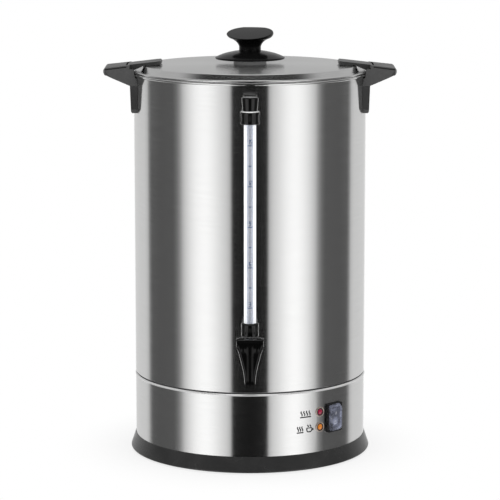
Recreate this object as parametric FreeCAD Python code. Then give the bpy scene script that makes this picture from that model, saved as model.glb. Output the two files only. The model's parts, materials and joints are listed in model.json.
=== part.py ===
import FreeCAD, Part
import math
import os

from FreeCAD import Vector

# A hot water urn of about 20 litres: a single-walled steel tank with a lid that lifts by its knob,
# two side handles with hinged lid latches, a sight gauge that stands on the tap, and a skirt and
# plastic base that hold the heater and its controls.
# Units are millimetres. The origin is on the tank's axis at floor level, +Z is up, and the tap
# points along -Y. "Out" is the distance from the tank's outer wall, away from its axis, and "in"
# is the distance from that wall towards the axis.

# ---- driving dimensions ------------------------------------------------------------------------

# tank, skirt and base
BODY_RADIUS = 140.0          # outside of the tank and the skirt
SHEET = 0.8                  # steel sheet of the tank, skirt and lid
RIM_HEIGHT = 460.0           # centre of the rolled bead around the tank's mouth
RIM_BEAD = 1.7               # radius of that bead
RIM_PROUD = 1.5              # how far the bead stands out of the wall
SEAM_HEIGHT = 95.5           # middle of the groove between tank and skirt
SEAM_WIDTH = 4.0
LAP_LENGTH = 13.0            # how far the tank's stepped end reaches down inside the skirt
SKIRT_BOTTOM = 20.0
FLOOR_RISE = 5.5             # inside of the tank's floor above the groove
FLOOR_SHEET = 1.2
FLOOR_FLANGE = 16.0          # depth of the floor's turned-down edge
FLOOR_BEND = 4.0             # inner radius of that edge's bend
FLARE_OUT = 6.0              # widest part of the plastic base ring
FLARE_HEIGHT = 3.5           # where it is widest
RING_WALL = 3.0
RING_CLEAR = 1.5             # the ring's lower edge above the floor
RING_LIP = 0.5               # how far the ring's top stands out past the skirt
SPIGOT_HEIGHT = 9.0          # how far the ring's spigot reaches up inside the skirt
PLATE_TOP = 6.0              # upper face of the steel base plate
PLATE_SHEET = 1.0
PLATE_GAP = 1.0              # around the base plate's edge
FLANGE_IN = 12.0             # inner edge of the flange that the base plate is pulled against
FLANGE_THICK = 1.8
FOOT_RADIUS = 12.0
FOOT_STEM_RADIUS = 4.0
FOOT_IN = 28.0
FOOT_COUNT = 4
FOOT_FIRST = 45.0            # degrees
BASE_SCREW_RADIUS = 2.0
BASE_SCREW_LENGTH = 14.0     # above the base plate
VENT_COUNT = 12
VENT_LENGTH = 28.0
VENT_IN = 48.0               # outer end of each vent slot
VENT_WIDTH = 4.0

# lid and knob
LID_PLATEAU_IN = 12.3
LID_PLATEAU_RISE = 10.0      # plateau's edge above the rim bead's centre
LID_CROWN = 1.8              # how much the plateau is domed
LID_STEP_IN = 9.0            # foot of the step wall
LID_EDGE_ROLL = 1.2          # radius of the lid's rolled edge
LID_LIP_DEPTH = 8.0          # ring under the lid that centres it in the mouth
LID_LIP_GAP = 0.5
KNOB_HEAD_RADIUS = 28.3
KNOB_HEAD_RISE = 46.8        # widest part of the head above the rim bead's centre
KNOB_CROWN = 7.2             # top of the head above its widest part
KNOB_SHOULDER = 23.0         # where the rounded rim meets the top
KNOB_HEAD_UNDER = 5.6        # edge of the head's underside below its widest part
KNOB_NECK_RADIUS = 13.2
KNOB_NECK_STRAIGHT = 8.0
KNOB_FACE_RISE = 2.0         # middle of the head's slanted face above its widest part
KNOB_FACE_SLANT = 14.0       # degrees that the face leans towards the tap
KNOB_FACE_LEAN = 4.0         # degrees that it leans to the left
GUARD_RADIUS = 42.0
GUARD_RIM_RISE = 17.0        # guard's lower edge above the rim bead's centre
GUARD_RIM_THICK = 2.6
GUARD_HUB_RISE = 24.0
GUARD_HUB_RADIUS = 20.0
SPACER_RADIUS = 19.8
SPACER_DROP = 2.0            # top of the spacer below the guard's lower edge
KNOB_SCREW_RADIUS = 2.5
KNOB_SCREW_REACH = 14.0      # above the guard
KNOB_WASHER = 1.2

# handles and lid latches
HANDLE_OUT = 35.5            # outermost point of each grip
SPLIT_OUT = 6.5              # where the grip meets the latch
HANDLE_TIP_RISE = 3.2        # middle of the grip's tip above the rim bead's centre
HANDLE_TIP_RADIUS = 3.6
HANDLE_TOP_RISE = 11.3       # top surface at the split, above the rim bead's centre
HANDLE_CORNER_DROP = 11.5    # corner between the wedge and the leg, below the bead's centre
HANDLE_LEG_DROP = 45.0       # foot of the leg, below the bead's centre
HANDLE_LEG_TOP_THICK = 2.6   # of the leg where the wall stands out most; its outside is flat
HANDLE_LEG_FOOT_THICK = 1.8
HANDLE_TOP_HALF = 50.0       # half widths along the rim
HANDLE_CORNER_HALF = 44.0
HANDLE_FOOT_HALF = 40.0
HANDLE_TIP_HALF = 32.0
HANDLE_CREST_HALF = 25.0     # half width of the flat top, between the sloping sides
HANDLE_SIDE_SLOPE = 0.8      # how far each side runs out for each step down
HANDLE_WALL = 3.0
HANDLE_HOLLOW_OUT = 10.0     # inner end of the hollow, beyond the tank's wall
HANDLE_ROOT = 20.0           # how far inside the wall the grip is drawn before it is cut back
HANDLE_SCREW_RADIUS = 2.0
HANDLE_SCREW_ANGLE = 14.5    # degrees to each side of the handle's middle
HANDLE_SCREW_DROP = 34.0
HANDLE_SCREW_SKIN = 0.8      # plastic left in front of each screw's tip
LATCH_IN = 34.0              # inner end of the latch
LATCH_END_RISE = 16.0        # top surface at the inner end, above the bead's centre
LATCH_PLATE = 4.0
LATCH_HALF = 19.0            # half width of the latch's plate
LATCH_PAD = 15.0             # length of the thicker pad at the inner end
LATCH_PAD_GAP = 0.5          # between the pad and the lid
LATCH_WEB = 4.0              # thickness of the side webs
LATCH_WEB_GAP = 0.6          # between the webs and the lid's sloping edge
LATCH_KNUCKLE = 3.0          # radius of the barrel around the pin
LATCH_ROOM = 0.9             # around the barrel, for the latch to swing
LATCH_PIN_RADIUS = 1.5
PIN_GRIP = 5.0               # length of the pin inside the handle at each end
SLOT_WALL = 1.5              # how far inside the pin's axis the handle's inner face lies
BACKING_THICK = 1.5
BACKING_HALF = 8.0
BACKING_LENGTH = 84.0

# sight gauge
GAUGE_OUT = 15.0             # the gauge's axis
GLASS_RADIUS = 4.0
GLASS_BORE = 2.8
GUARD_TUBE_RADIUS = 7.4
GUARD_TUBE_BORE = 6.4
TOP_PORT_DROP = 22.0         # hole in the tank wall for the upper fitting, below the bead's centre
TOP_PORT_RADIUS = 5.0
TOP_ARM_RADIUS = 6.9
TOP_NUT_RADIUS = 11.4
TOP_NUT_LENGTH = 15.0
TOP_CAP_RISE = 9.0           # top of the upper fitting above its port
TOP_CAP_RADIUS = 9.6
TOP_CAP_FOOT = 8.5
TOP_CAP_BAND = 4.0           # straight band at the top of the fitting's cap
TOP_SEAL = 1.2               # thickness of the upper fitting's wall seal
GAUGE_THREAD = 8.0           # threaded necks that the two nuts turn on
NUT_SOCKET = 2.0             # how deep the upper nut holds the guard tube
NUT_WEB = 2.0
SEAL_HEIGHT = 4.0
GLASS_PAST_NUT = 1.0         # how far the glass reaches past the upper nut
GLASS_RISE = 14.0            # foot of the glass above the tap's axis
STUB_INSIDE = 9.0            # upper fitting's stub inside the tank
BOTTOM_NUT_RADIUS = 10.3
BOTTOM_NUT_RISE = 34.5       # top of the lower nut above the tap's axis
BOTTOM_NUT_LENGTH = 16.0
BOTTOM_SOCKET = 2.5          # how deep the lower nut holds the guard tube
SCALE_SPACING = 47.4         # between numbered gauge marks
SCALE_FIRST = 18.8           # lowest mark above the guard tube's foot
SCALE_TOP_MARGIN = 10.0      # no mark nearer than this to the guard tube's top
SCALE_MARK = 1.2             # height of a mark
SCALE_HALF = 3.2
SCALE_THICK = 0.6
SCALE_GAP = 0.5              # between the strip and the glass
SCALE_RELIEF = 0.25

# tap
TAP_HEIGHT = 150.0           # axis of the shank and of the valve stem
SHANK_RADIUS = 10.0
SHANK_BORE = 6.5
SHANK_INSIDE = 16.0          # length of the shank inside the tank
TAP_SEAL = 2.0
TAP_FLANGE = 15.0
TAP_FLANGE_THICK = 3.0
TAP_BODY_RADIUS = 12.0
SEAT_PAST_GAUGE = 5.0        # the valve's seat beyond the gauge's axis
SEAT_THICK = 2.0
SEAT_BORE = 4.5
CHAMBER_RADIUS = 8.5
BONNET_NECK = 2.0
BONNET_FLANGE = 4.0
EAR_RADIUS = 3.6
EAR_INNER = 8.6
EAR_OUTER = 12.4
CUP_RADIUS = 6.0
CUP_THICK = 2.6
STEM_RADIUS = 2.2
STEM_COLLAR = 0.8
STEM_TRAVEL = 5.4
SPRING_RADIUS = 4.4
SPRING_WIRE = 0.45           # radius of the wire
SPRING_TURNS = 3.5
SPOUT_RADIUS = 6.4
SPOUT_BORE = 4.6
SPOUT_PAST_SEAT = 8.8        # the spout's axis beyond the seat
SPOUT_DROP = 31.0            # foot of the spout below the tap's axis
PIVOT_PAST_BODY = 6.0        # lever's pivot beyond the tap body's front
PIVOT_RISE = 13.0            # above the tap's axis
PIVOT_RADIUS = 1.6
LEVER_FACE = 8.0             # lever's front face beyond its pivot
LEVER_TOP_RISE = 22.0        # heights on the lever above and below the tap's axis
LEVER_WAIST_RISE = 4.5
LEVER_KNEE_DROP = 16.0
LEVER_FOOT_DROP = 32.0
LEVER_HALF_TOP = 16.2
LEVER_WAIST_HALF = 13.0
LEVER_KNEE_HALF = 7.9
LEVER_HALF_FOOT = 6.6
LEVER_LEAN = 2.5             # how far the foot hangs back
LEVER_SHEET = 3.2
HEAD_DEPTH = 14.0            # depth of the hood over the pivot
CHEEK = 3.4                  # thickness of the hood's cheeks
RIDGE_HALF = 3.2
STEM_RIB_INNER = 3.0
STEM_RIB_OUTER = 5.0
STEM_RIB_RISE = 4.0          # top of the lever's two ribs above the tap's axis
STEM_PIN_RADIUS = 1.2
STEM_PIN_PAST_PIVOT = 2.0
STEM_PIN_ROOM = 0.5
STEM_PIN_DROP = 2.4          # room below the cross pin for the lever to swing

# controls on the skirt
SWITCH_ANGLE = 45.25         # degrees round from the tap
SWITCH_HEIGHT = 58.8
SWITCH_WIDTH = 25.6
SWITCH_TALL = 35.0
SWITCH_BODY_WIDTH = 18.0
SWITCH_BODY_TALL = 26.0
SWITCH_DEPTH = 24.0
SWITCH_PROUD = 2.2           # frame's front face out from the skirt
ROCKER_SWING = 14.0          # degrees
ROCKER_HALF_WIDE = 6.6
ROCKER_HALF_TALL = 10.6
ROCKER_PROUD = 2.0           # rocker's ends out from the frame
ROCKER_IN = 1.0              # rocker's axis
ROCKER_PIN = 1.2
ROCKER_BACK = 3.5
ROCKER_ROOM = 1.2
ROCKER_WELL = 9.0
COVER_DEPTH = 7.5
COVER_WALL = 1.0
LAMP_ANGLE = 36.2
LAMP_RISES = {"red": 9.5, "amber": -8.8}     # above the middle of the switch
LAMP_BEZEL_RADIUS = 5.95
LAMP_BARREL_RADIUS = 4.6
LAMP_LENS_RADIUS = 4.0
LAMP_PROUD = 1.8
LAMP_DEPTH = 16.0
LAMP_DOME = 1.0
GLAND_HEIGHT = 48.0
GLAND_THREAD_RADIUS = 8.0
GLAND_BORE = 4.0
GLAND_INSIDE = 14.0
GLAND_FLANGE = 11.0
GLAND_CAP = 16.0

# heater
PLATE_IN = 52.0              # edge of the aluminium spreader plate
PLATE_THICK = 4.0
ELEMENT_INSET = 22.0         # the element's ring inside the spreader plate's edge
ELEMENT_TUBE = 4.2
ELEMENT_GAP = 50.0           # degrees left open at the element's two ends
ELEMENT_END = 16.0           # length of the element's turned-down ends
POST_IN = 19.0
POST_RADIUS = 5.0
POST_COUNT = 4
POST_FIRST = 22.5            # degrees
STAT_RADIUS = 9.0
STAT_DEPTH = 15.0
BOIL_STAT_PLACE = (0.0, 0.0)
WARM_STAT_PLACE = (34.0, -18.0)
RESET_RADIUS = 3.0
RESET_X = -38.0
RESET_Y = 24.0
RESET_TRAVEL = 2.0
RESET_DEPTH = 8.0
CUTOUT_HALF = 15.0
CUTOUT_TALL = 20.0
BULB_RADIUS = 3.2
BULB_LENGTH = 26.0
CAPILLARY_RADIUS = 1.1
CAPILLARY_OFFSET = 8.0
TERMINAL_LENGTH = 42.0
TERMINAL_DEPTH = 18.0
TERMINAL_TALL = 16.0
TERMINAL_IN = 62.0           # front of the terminal block
EARTH_IN = 29.0
EARTH_ANGLE = 50.9           # degrees round from +X
EARTH_RADIUS = 2.5
EARTH_LENGTH = 15.0

# fits and gaps
SEAT = 0.3                   # between pieces that only rest on each other
SNUG = 0.1                   # between pieces of one body
RUNNING = 0.05               # radial clearance of pins and shafts

BIG = 600.0                  # longer than anything here, for cutting tools

# ---- values that follow from them --------------------------------------------------------------

WALL_INSIDE = BODY_RADIUS - SHEET
LAP_RADIUS = WALL_INSIDE - SNUG              # outside of the tank's stepped-in end
LAP_INSIDE = LAP_RADIUS - SHEET
SEAM_TOP = SEAM_HEIGHT + SEAM_WIDTH / 2
SKIRT_TOP = SEAM_HEIGHT - SEAM_WIDTH / 2
LAP_BOTTOM = SKIRT_TOP - LAP_LENGTH
FLOOR_TOP = SEAM_HEIGHT + FLOOR_RISE
FLOOR_UNDER = FLOOR_TOP - FLOOR_SHEET
RIM_OUTER = BODY_RADIUS + RIM_PROUD
RIM_TOP = RIM_HEIGHT + RIM_BEAD
FLARE_RADIUS = BODY_RADIUS + FLARE_OUT
PLATE_UNDER = PLATE_TOP - PLATE_SHEET
FOOT_CIRCLE = BODY_RADIUS - FOOT_IN
POST_CIRCLE = BODY_RADIUS - POST_IN

LID_PLATEAU_RADIUS = BODY_RADIUS - LID_PLATEAU_IN
LID_STEP_RADIUS = BODY_RADIUS - LID_STEP_IN
LID_FLANGE_UNDER = RIM_TOP + SEAT
LID_FLANGE_TOP = LID_FLANGE_UNDER + SHEET
LID_PLATEAU = RIM_HEIGHT + LID_PLATEAU_RISE
LID_CENTRE = LID_PLATEAU + LID_CROWN
LID_EDGE = RIM_OUTER - LID_EDGE_ROLL
LID_EDGE_TOP = LID_FLANGE_UNDER + 2 * LID_EDGE_ROLL
SPACER_TOP = RIM_HEIGHT + GUARD_RIM_RISE - SPACER_DROP
GUARD_HUB = RIM_HEIGHT + GUARD_HUB_RISE

HANDLE_REACH = BODY_RADIUS + HANDLE_OUT
HANDLE_SPLIT = BODY_RADIUS + SPLIT_OUT
LATCH_INNER = BODY_RADIUS - LATCH_IN
LATCH_PAD_END = LATCH_INNER + LATCH_PAD

GAUGE_OFFSET = BODY_RADIUS + GAUGE_OUT
TOP_PORT_HEIGHT = RIM_HEIGHT - TOP_PORT_DROP
TOP_NUT_TOP = TOP_PORT_HEIGHT - TOP_ARM_RADIUS - SNUG
TOP_NUT_BOTTOM = TOP_NUT_TOP - TOP_NUT_LENGTH
TOP_CAP_TOP = TOP_PORT_HEIGHT + TOP_CAP_RISE
BOTTOM_NUT_TOP = TAP_HEIGHT + BOTTOM_NUT_RISE
GUARD_TUBE_TOP = TOP_NUT_BOTTOM + NUT_SOCKET
GUARD_TUBE_BOTTOM = BOTTOM_NUT_TOP - BOTTOM_SOCKET
GLASS_TOP = TOP_NUT_TOP + GLASS_PAST_NUT
GLASS_BOTTOM = TAP_HEIGHT + GLASS_RISE

SEAT_OFFSET = GAUGE_OFFSET + SEAT_PAST_GAUGE
CUP_NEAR = SEAT_OFFSET + SEAT_THICK
SPRING_NEAR = CUP_NEAR + CUP_THICK + STEM_COLLAR
SPRING_SOLID = 2 * SPRING_WIRE * SPRING_TURNS        # length of the squeezed spring
TAP_BODY_FRONT = SPRING_NEAR + STEM_TRAVEL + SPRING_SOLID + BONNET_NECK + SNUG / 2
SPOUT_OFFSET = SEAT_OFFSET + SPOUT_PAST_SEAT
SPOUT_BOTTOM = TAP_HEIGHT - SPOUT_DROP
PIVOT_OFFSET = TAP_BODY_FRONT + PIVOT_PAST_BODY
PIVOT_HEIGHT = TAP_HEIGHT + PIVOT_RISE
STEM_PIN_OFFSET = PIVOT_OFFSET + STEM_PIN_PAST_PIVOT
LEVER_FRONT = PIVOT_OFFSET + LEVER_FACE
LEVER_TOP = TAP_HEIGHT + LEVER_TOP_RISE
LEVER_WAIST = TAP_HEIGHT + LEVER_WAIST_RISE
LEVER_KNEE = TAP_HEIGHT - LEVER_KNEE_DROP
LEVER_BOTTOM = TAP_HEIGHT - LEVER_FOOT_DROP

SWITCH_FRONT = BODY_RADIUS + SWITCH_PROUD
ROCKER_PIVOT = BODY_RADIUS - ROCKER_IN
LAMP_FRONT = BODY_RADIUS + LAMP_PROUD
LAMP_BACK = BODY_RADIUS - LAMP_DEPTH
HEATER_LEVEL = FLOOR_UNDER - PLATE_THICK             # underside of the spreader plate
PLATE_RADIUS = BODY_RADIUS - PLATE_IN
ELEMENT_RADIUS = PLATE_RADIUS - ELEMENT_INSET
TERMINAL_Y = BODY_RADIUS - TERMINAL_IN
EARTH_CIRCLE = BODY_RADIUS - EARTH_IN


# ---- helpers -----------------------------------------------------------------------------------

def upright(radius, z0, z1, x=0.0, y=0.0):
    """Vertical cylinder from z0 to z1."""
    return Part.makeCylinder(radius, z1 - z0, Vector(x, y, z0))


def forward(radius, near, far, z, x=0.0):
    """Cylinder along the tap's direction, from near to far out from the tank's axis."""
    return Part.makeCylinder(radius, far - near, Vector(x, -near, z), Vector(0, -1, 0))


def sideways(radius, half, y, z):
    """Cylinder along X, centred on the YZ plane."""
    return Part.makeCylinder(radius, 2 * half, Vector(-half, y, z), Vector(1, 0, 0))


def box(x0, x1, y0, y1, z0, z1):
    """Box between two corners."""
    return Part.makeBox(x1 - x0, y1 - y0, z1 - z0, Vector(x0, y0, z0))


def outline(steps, place):
    """Closed face through the steps. A step is (a, b), or (a, b, mid_a, mid_b) for an arc to it."""
    edges = []
    for index, step in enumerate(steps):
        start = place(*steps[index - 1][:2])
        end = place(*step[:2])
        if len(step) == 4:
            edges.append(Part.Arc(start, place(*step[2:]), end).toShape())
        else:
            edges.append(Part.LineSegment(start, end).toShape())
    return Part.Face(Part.Wire(edges))


def turned(steps):
    """Solid of revolution about Z of a closed outline of (radius, z) steps."""
    face = outline(steps, lambda r, z: Vector(r, 0, z))
    return face.revolve(Vector(0, 0, 0), Vector(0, 0, 1), 360)


def side_prism(steps, x0, x1):
    """Prism along X of an outline seen from the side: steps are (out, z), out along -Y."""
    face = outline(steps, lambda out, z: Vector(x0, -out, z))
    return face.extrude(Vector(x1 - x0, 0, 0))


def front_prism(steps, near, far):
    """Prism along -Y of an outline seen from the front: steps are (x, z)."""
    face = outline(steps, lambda x, z: Vector(x, -near, z))
    return face.extrude(Vector(0, near - far, 0))


def across_prism(steps, half):
    """Prism along Y, from -half to half, of an outline of (x, z) steps."""
    face = outline(steps, lambda x, z: Vector(x, -half, z))
    return face.extrude(Vector(0, 2 * half, 0))


def about_z(shape, degrees):
    """Copy of a shape turned about the tank's axis."""
    copy = shape.copy()
    copy.rotate(Vector(0, 0, 0), Vector(0, 0, 1), degrees)
    return copy


def mirrored(shape):
    """Copy of a shape on the other side of the YZ plane."""
    return shape.mirror(Vector(0, 0, 0), Vector(1, 0, 0))


def ring_of(shape, count, first):
    """Copies of a shape around the tank's axis, the first one turned by first degrees."""
    return [about_z(shape, first + index * 360.0 / count) for index in range(count)]


def fused(shapes):
    """One solid from shapes that touch or overlap."""
    return shapes[0].multiFuse(shapes[1:]).removeSplitter()


def save(name, shape):
    """Write one sub-part."""
    shape.exportStep("parts/" + name + ".step")


# ---- tank, skirt and base ----------------------------------------------------------------------

def dome_drop(radius, edge, depth):
    """How far a ball-shaped dome has dropped at a radius, if it drops by depth at its edge."""
    ball = (edge ** 2 + depth ** 2) / (2 * depth)
    return ball - math.sqrt(ball ** 2 - radius ** 2)


def crown_height(radius):
    """Height of the lid's domed top at a radius."""
    return LID_CENTRE - dome_drop(radius, LID_PLATEAU_RADIUS, LID_CROWN)


def bead(radius, height, roll):
    """Rolled edge: a ring of round section whose outside is at a radius."""
    return Part.makeTorus(radius - roll, roll, Vector(0, 0, height))


def handle_screw_places():
    """Angles, in degrees round from +X, and the height of the handle screws."""
    return (-HANDLE_SCREW_ANGLE, HANDLE_SCREW_ANGLE), RIM_HEIGHT - HANDLE_SCREW_DROP


def handle_screw_tip():
    """How far out, from the tank's axis, the handle screws reach."""
    angle = math.radians(HANDLE_SCREW_ANGLE)
    face = BODY_RADIUS + HANDLE_LEG_FOOT_THICK - HANDLE_SCREW_SKIN
    return (face - HANDLE_SCREW_RADIUS * math.sin(angle)) / math.cos(angle)


def radial_x(radius, inner, outer, angle, z):
    """Cylinder that lies along a radius, turned by an angle from +X."""
    rod = Part.makeCylinder(radius, outer - inner, Vector(inner, 0, z), Vector(1, 0, 0))
    return about_z(rod, angle)


def make_tank_wall():
    """Steel cylinder with a rolled bead at its mouth and a stepped-in lower end."""
    step = SHEET + SNUG
    wall = turned([
        (LAP_RADIUS, LAP_BOTTOM), (LAP_RADIUS, SEAM_TOP - step), (BODY_RADIUS, SEAM_TOP),
        (BODY_RADIUS, RIM_HEIGHT), (WALL_INSIDE, RIM_HEIGHT), (WALL_INSIDE, SEAM_TOP + SHEET / 2),
        (LAP_INSIDE, SEAM_TOP - step + SHEET / 2), (LAP_INSIDE, LAP_BOTTOM)])
    wall = fused([wall, bead(RIM_OUTER, RIM_HEIGHT, RIM_BEAD)])
    holes = [forward(SHANK_RADIUS + SNUG, BODY_RADIUS - 10, BODY_RADIUS + 10, TAP_HEIGHT),
             forward(TOP_PORT_RADIUS + SNUG, BODY_RADIUS - 10, BODY_RADIUS + 10, TOP_PORT_HEIGHT)]
    angles, height = handle_screw_places()
    for side in (0, 180):
        for angle in angles:
            holes.append(radial_x(HANDLE_SCREW_RADIUS + SNUG, BODY_RADIUS - 5, BODY_RADIUS + 5,
                                  side + angle, height))
    return wall.cut(holes)


def make_tank_floor():
    """Pressed floor with a turned-down edge inside the tank's lower end."""
    outer = LAP_INSIDE - SNUG
    inner = outer - FLOOR_SHEET
    bend = FLOOR_BEND
    return turned([
        (0, FLOOR_UNDER), (inner - bend, FLOOR_UNDER),
        (inner, FLOOR_UNDER - bend, inner - bend * 0.293, FLOOR_UNDER - bend * 0.293),
        (inner, FLOOR_TOP - FLOOR_FLANGE), (outer, FLOOR_TOP - FLOOR_FLANGE),
        (outer, FLOOR_TOP - bend - FLOOR_SHEET),
        (outer - bend - FLOOR_SHEET, FLOOR_TOP, outer - (bend + FLOOR_SHEET) * 0.293,
         FLOOR_TOP - (bend + FLOOR_SHEET) * 0.293),
        (0, FLOOR_TOP)])


def make_skirt():
    """Lower steel cylinder, with holes for the lamps, the switch and the cable gland."""
    skirt = turned([(WALL_INSIDE, SKIRT_BOTTOM), (BODY_RADIUS, SKIRT_BOTTOM),
                    (BODY_RADIUS, SKIRT_TOP), (WALL_INSIDE, SKIRT_TOP)])
    near, far = BODY_RADIUS - 15, BODY_RADIUS + 15
    cuts = [about_z(forward(LAMP_BARREL_RADIUS + SNUG, near, far, SWITCH_HEIGHT + rise), LAMP_ANGLE)
            for rise in LAMP_RISES.values()]
    half_wide = SWITCH_BODY_WIDTH / 2 + SNUG
    half_tall = SWITCH_BODY_TALL / 2 + SNUG
    cuts.append(about_z(box(-half_wide, half_wide, -far, -near, SWITCH_HEIGHT - half_tall,
                            SWITCH_HEIGHT + half_tall), SWITCH_ANGLE))
    cuts.append(about_z(forward(GLAND_THREAD_RADIUS + SNUG, near, far, GLAND_HEIGHT), 180))
    return skirt.cut(cuts)


def flare_radius(height):
    """Outside radius of the base ring at a height, on its straight flank."""
    share = (height - FLARE_HEIGHT) / (SKIRT_BOTTOM - FLARE_HEIGHT)
    return FLARE_RADIUS + (BODY_RADIUS + RING_LIP - FLARE_RADIUS) * share


def make_base_ring():
    """Flared plastic ring: carries the skirt, with a spigot inside it and a flange for the plate."""
    inner_top = WALL_INSIDE - SNUG - RING_WALL
    return turned([
        (inner_top, SKIRT_BOTTOM + SPIGOT_HEIGHT), (WALL_INSIDE - SNUG, SKIRT_BOTTOM + SPIGOT_HEIGHT),
        (WALL_INSIDE - SNUG, SKIRT_BOTTOM), (BODY_RADIUS + RING_LIP, SKIRT_BOTTOM),
        (FLARE_RADIUS, FLARE_HEIGHT),
        (FLARE_RADIUS - 1.6, RING_CLEAR, FLARE_RADIUS - 0.4, RING_CLEAR + 0.7),
        (flare_radius(RING_CLEAR) - RING_WALL - 1, RING_CLEAR),
        (flare_radius(PLATE_TOP) - RING_WALL, PLATE_TOP),
        (BODY_RADIUS - FLANGE_IN, PLATE_TOP), (BODY_RADIUS - FLANGE_IN, PLATE_TOP + FLANGE_THICK),
        (flare_radius(PLATE_TOP + FLANGE_THICK) - RING_WALL, PLATE_TOP + FLANGE_THICK),
        (inner_top, SKIRT_BOTTOM)])


def base_plate_radius():
    """The plate lies inside the ring with a small gap."""
    return flare_radius(PLATE_TOP) - RING_WALL - PLATE_GAP


def make_base_plate():
    """Steel plate that closes the base, with vent slots and holes for feet, screws and reset."""
    plate = upright(base_plate_radius(), PLATE_UNDER, PLATE_TOP)
    low, high = PLATE_UNDER - 1, PLATE_TOP + 1
    cuts = ring_of(upright(FOOT_STEM_RADIUS + SNUG, low, high, FOOT_CIRCLE), FOOT_COUNT, FOOT_FIRST)
    cuts += ring_of(upright(BASE_SCREW_RADIUS + SNUG, low, high, POST_CIRCLE), POST_COUNT, POST_FIRST)
    cuts.append(upright(RESET_RADIUS + SEAT, low, high, RESET_X, RESET_Y))
    vent_end = BODY_RADIUS - VENT_IN
    slot = box(vent_end - VENT_LENGTH, vent_end, -VENT_WIDTH / 2, VENT_WIDTH / 2, low, high)
    cuts += ring_of(slot, VENT_COUNT, 0)
    return plate.cut(cuts)


def make_rubber_feet():
    """Feet with a stem through the base plate and a retaining head above it."""
    foot = fused([
        upright(FOOT_RADIUS, 0, PLATE_UNDER, FOOT_CIRCLE),
        upright(FOOT_STEM_RADIUS, 0, PLATE_TOP + 3, FOOT_CIRCLE),
        Part.makeCone(FOOT_STEM_RADIUS + 1.5, FOOT_STEM_RADIUS - 1, 4,
                      Vector(FOOT_CIRCLE, 0, PLATE_TOP + SNUG))])
    return Part.makeCompound(ring_of(foot, FOOT_COUNT, FOOT_FIRST))


def make_floor_posts():
    """Posts between the base plate and the tank's floor, drilled for the base screws."""
    post = upright(POST_RADIUS, PLATE_TOP, FLOOR_UNDER, POST_CIRCLE)
    bore = upright(BASE_SCREW_RADIUS + RUNNING, PLATE_TOP - 1, PLATE_TOP + BASE_SCREW_LENGTH + 1,
                   POST_CIRCLE)
    return Part.makeCompound(ring_of(post.cut(bore), POST_COUNT, POST_FIRST))


def make_base_screws():
    """Screws from below through the plate into the posts."""
    head = upright(BASE_SCREW_RADIUS * 2, PLATE_UNDER - BASE_SCREW_RADIUS * 1.2, PLATE_UNDER,
                   POST_CIRCLE)
    shank = upright(BASE_SCREW_RADIUS, PLATE_UNDER - 1, PLATE_TOP + BASE_SCREW_LENGTH, POST_CIRCLE)
    slot = box(POST_CIRCLE - 5, POST_CIRCLE + 5, -0.4, 0.4, 0, PLATE_UNDER - BASE_SCREW_RADIUS * 0.7)
    return Part.makeCompound(ring_of(fused([head, shank]).cut(slot), POST_COUNT, POST_FIRST))


# ---- lid and knob ------------------------------------------------------------------------------

def make_lid():
    """Pressed lid: domed plateau, step wall, flange with a rolled edge, and a centring ring."""
    under = SHEET
    dome_mid = LID_PLATEAU_RADIUS / 2
    lip_outer = RIM_OUTER - 2 * RIM_BEAD - LID_LIP_GAP
    step_inner = LID_PLATEAU_RADIUS - under
    inner_drop = dome_drop(dome_mid, step_inner, LID_CROWN)
    pan = turned([
        (0, LID_CENTRE, dome_mid, crown_height(dome_mid)), (0, LID_CENTRE - under),
        (step_inner, LID_PLATEAU - under, dome_mid, LID_CENTRE - under - inner_drop),
        (LID_STEP_RADIUS - under, LID_FLANGE_UNDER), (LID_EDGE, LID_FLANGE_UNDER),
        (LID_EDGE, LID_FLANGE_TOP), (LID_STEP_RADIUS, LID_FLANGE_TOP),
        (LID_PLATEAU_RADIUS, LID_PLATEAU)])
    lip = turned([(lip_outer - SHEET, LID_FLANGE_UNDER - LID_LIP_DEPTH),
                  (lip_outer, LID_FLANGE_UNDER - LID_LIP_DEPTH),
                  (lip_outer, LID_FLANGE_TOP - SHEET / 2),
                  (lip_outer - SHEET, LID_FLANGE_TOP - SHEET / 2)])
    edge = bead(RIM_OUTER, LID_FLANGE_UNDER + LID_EDGE_ROLL, LID_EDGE_ROLL)
    hole = upright(KNOB_SCREW_RADIUS + SNUG, LID_CENTRE - 5, LID_CENTRE + 5)
    return fused([pan, lip, edge]).cut(hole)


def make_knob_spacer():
    """Washer between the lid and the guard, hollowed below to sit on the domed lid."""
    washer = upright(SPACER_RADIUS, crown_height(SPACER_RADIUS) - 1, SPACER_TOP)
    dome_mid = LID_PLATEAU_RADIUS / 2
    dome = turned([(0, LID_CENTRE, dome_mid, crown_height(dome_mid)), (0, LID_CENTRE - 5),
                   (LID_PLATEAU_RADIUS, LID_CENTRE - 5), (LID_PLATEAU_RADIUS, LID_PLATEAU)])
    bore = upright(KNOB_SCREW_RADIUS + SNUG, LID_CENTRE - 9, SPACER_TOP + 9)
    return washer.cut([dome, bore])


def make_knob_guard():
    """Dished disc that keeps fingers off the hot lid."""
    rim = RIM_HEIGHT + GUARD_RIM_RISE
    hub = GUARD_HUB
    half = GUARD_RIM_THICK / 2
    return turned([
        (KNOB_SCREW_RADIUS + SNUG, SPACER_TOP), (SPACER_RADIUS - 2, SPACER_TOP),
        (SPACER_RADIUS - 1, rim + half), (GUARD_RADIUS - half, rim),
        (GUARD_RADIUS - half, rim + 2 * half, GUARD_RADIUS, rim + half),
        (GUARD_HUB_RADIUS, hub - 1, (GUARD_RADIUS + GUARD_HUB_RADIUS) / 2, (rim + hub) / 2 + 1.4),
        (KNOB_NECK_RADIUS, hub), (KNOB_SCREW_RADIUS + SNUG, hub)])


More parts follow.
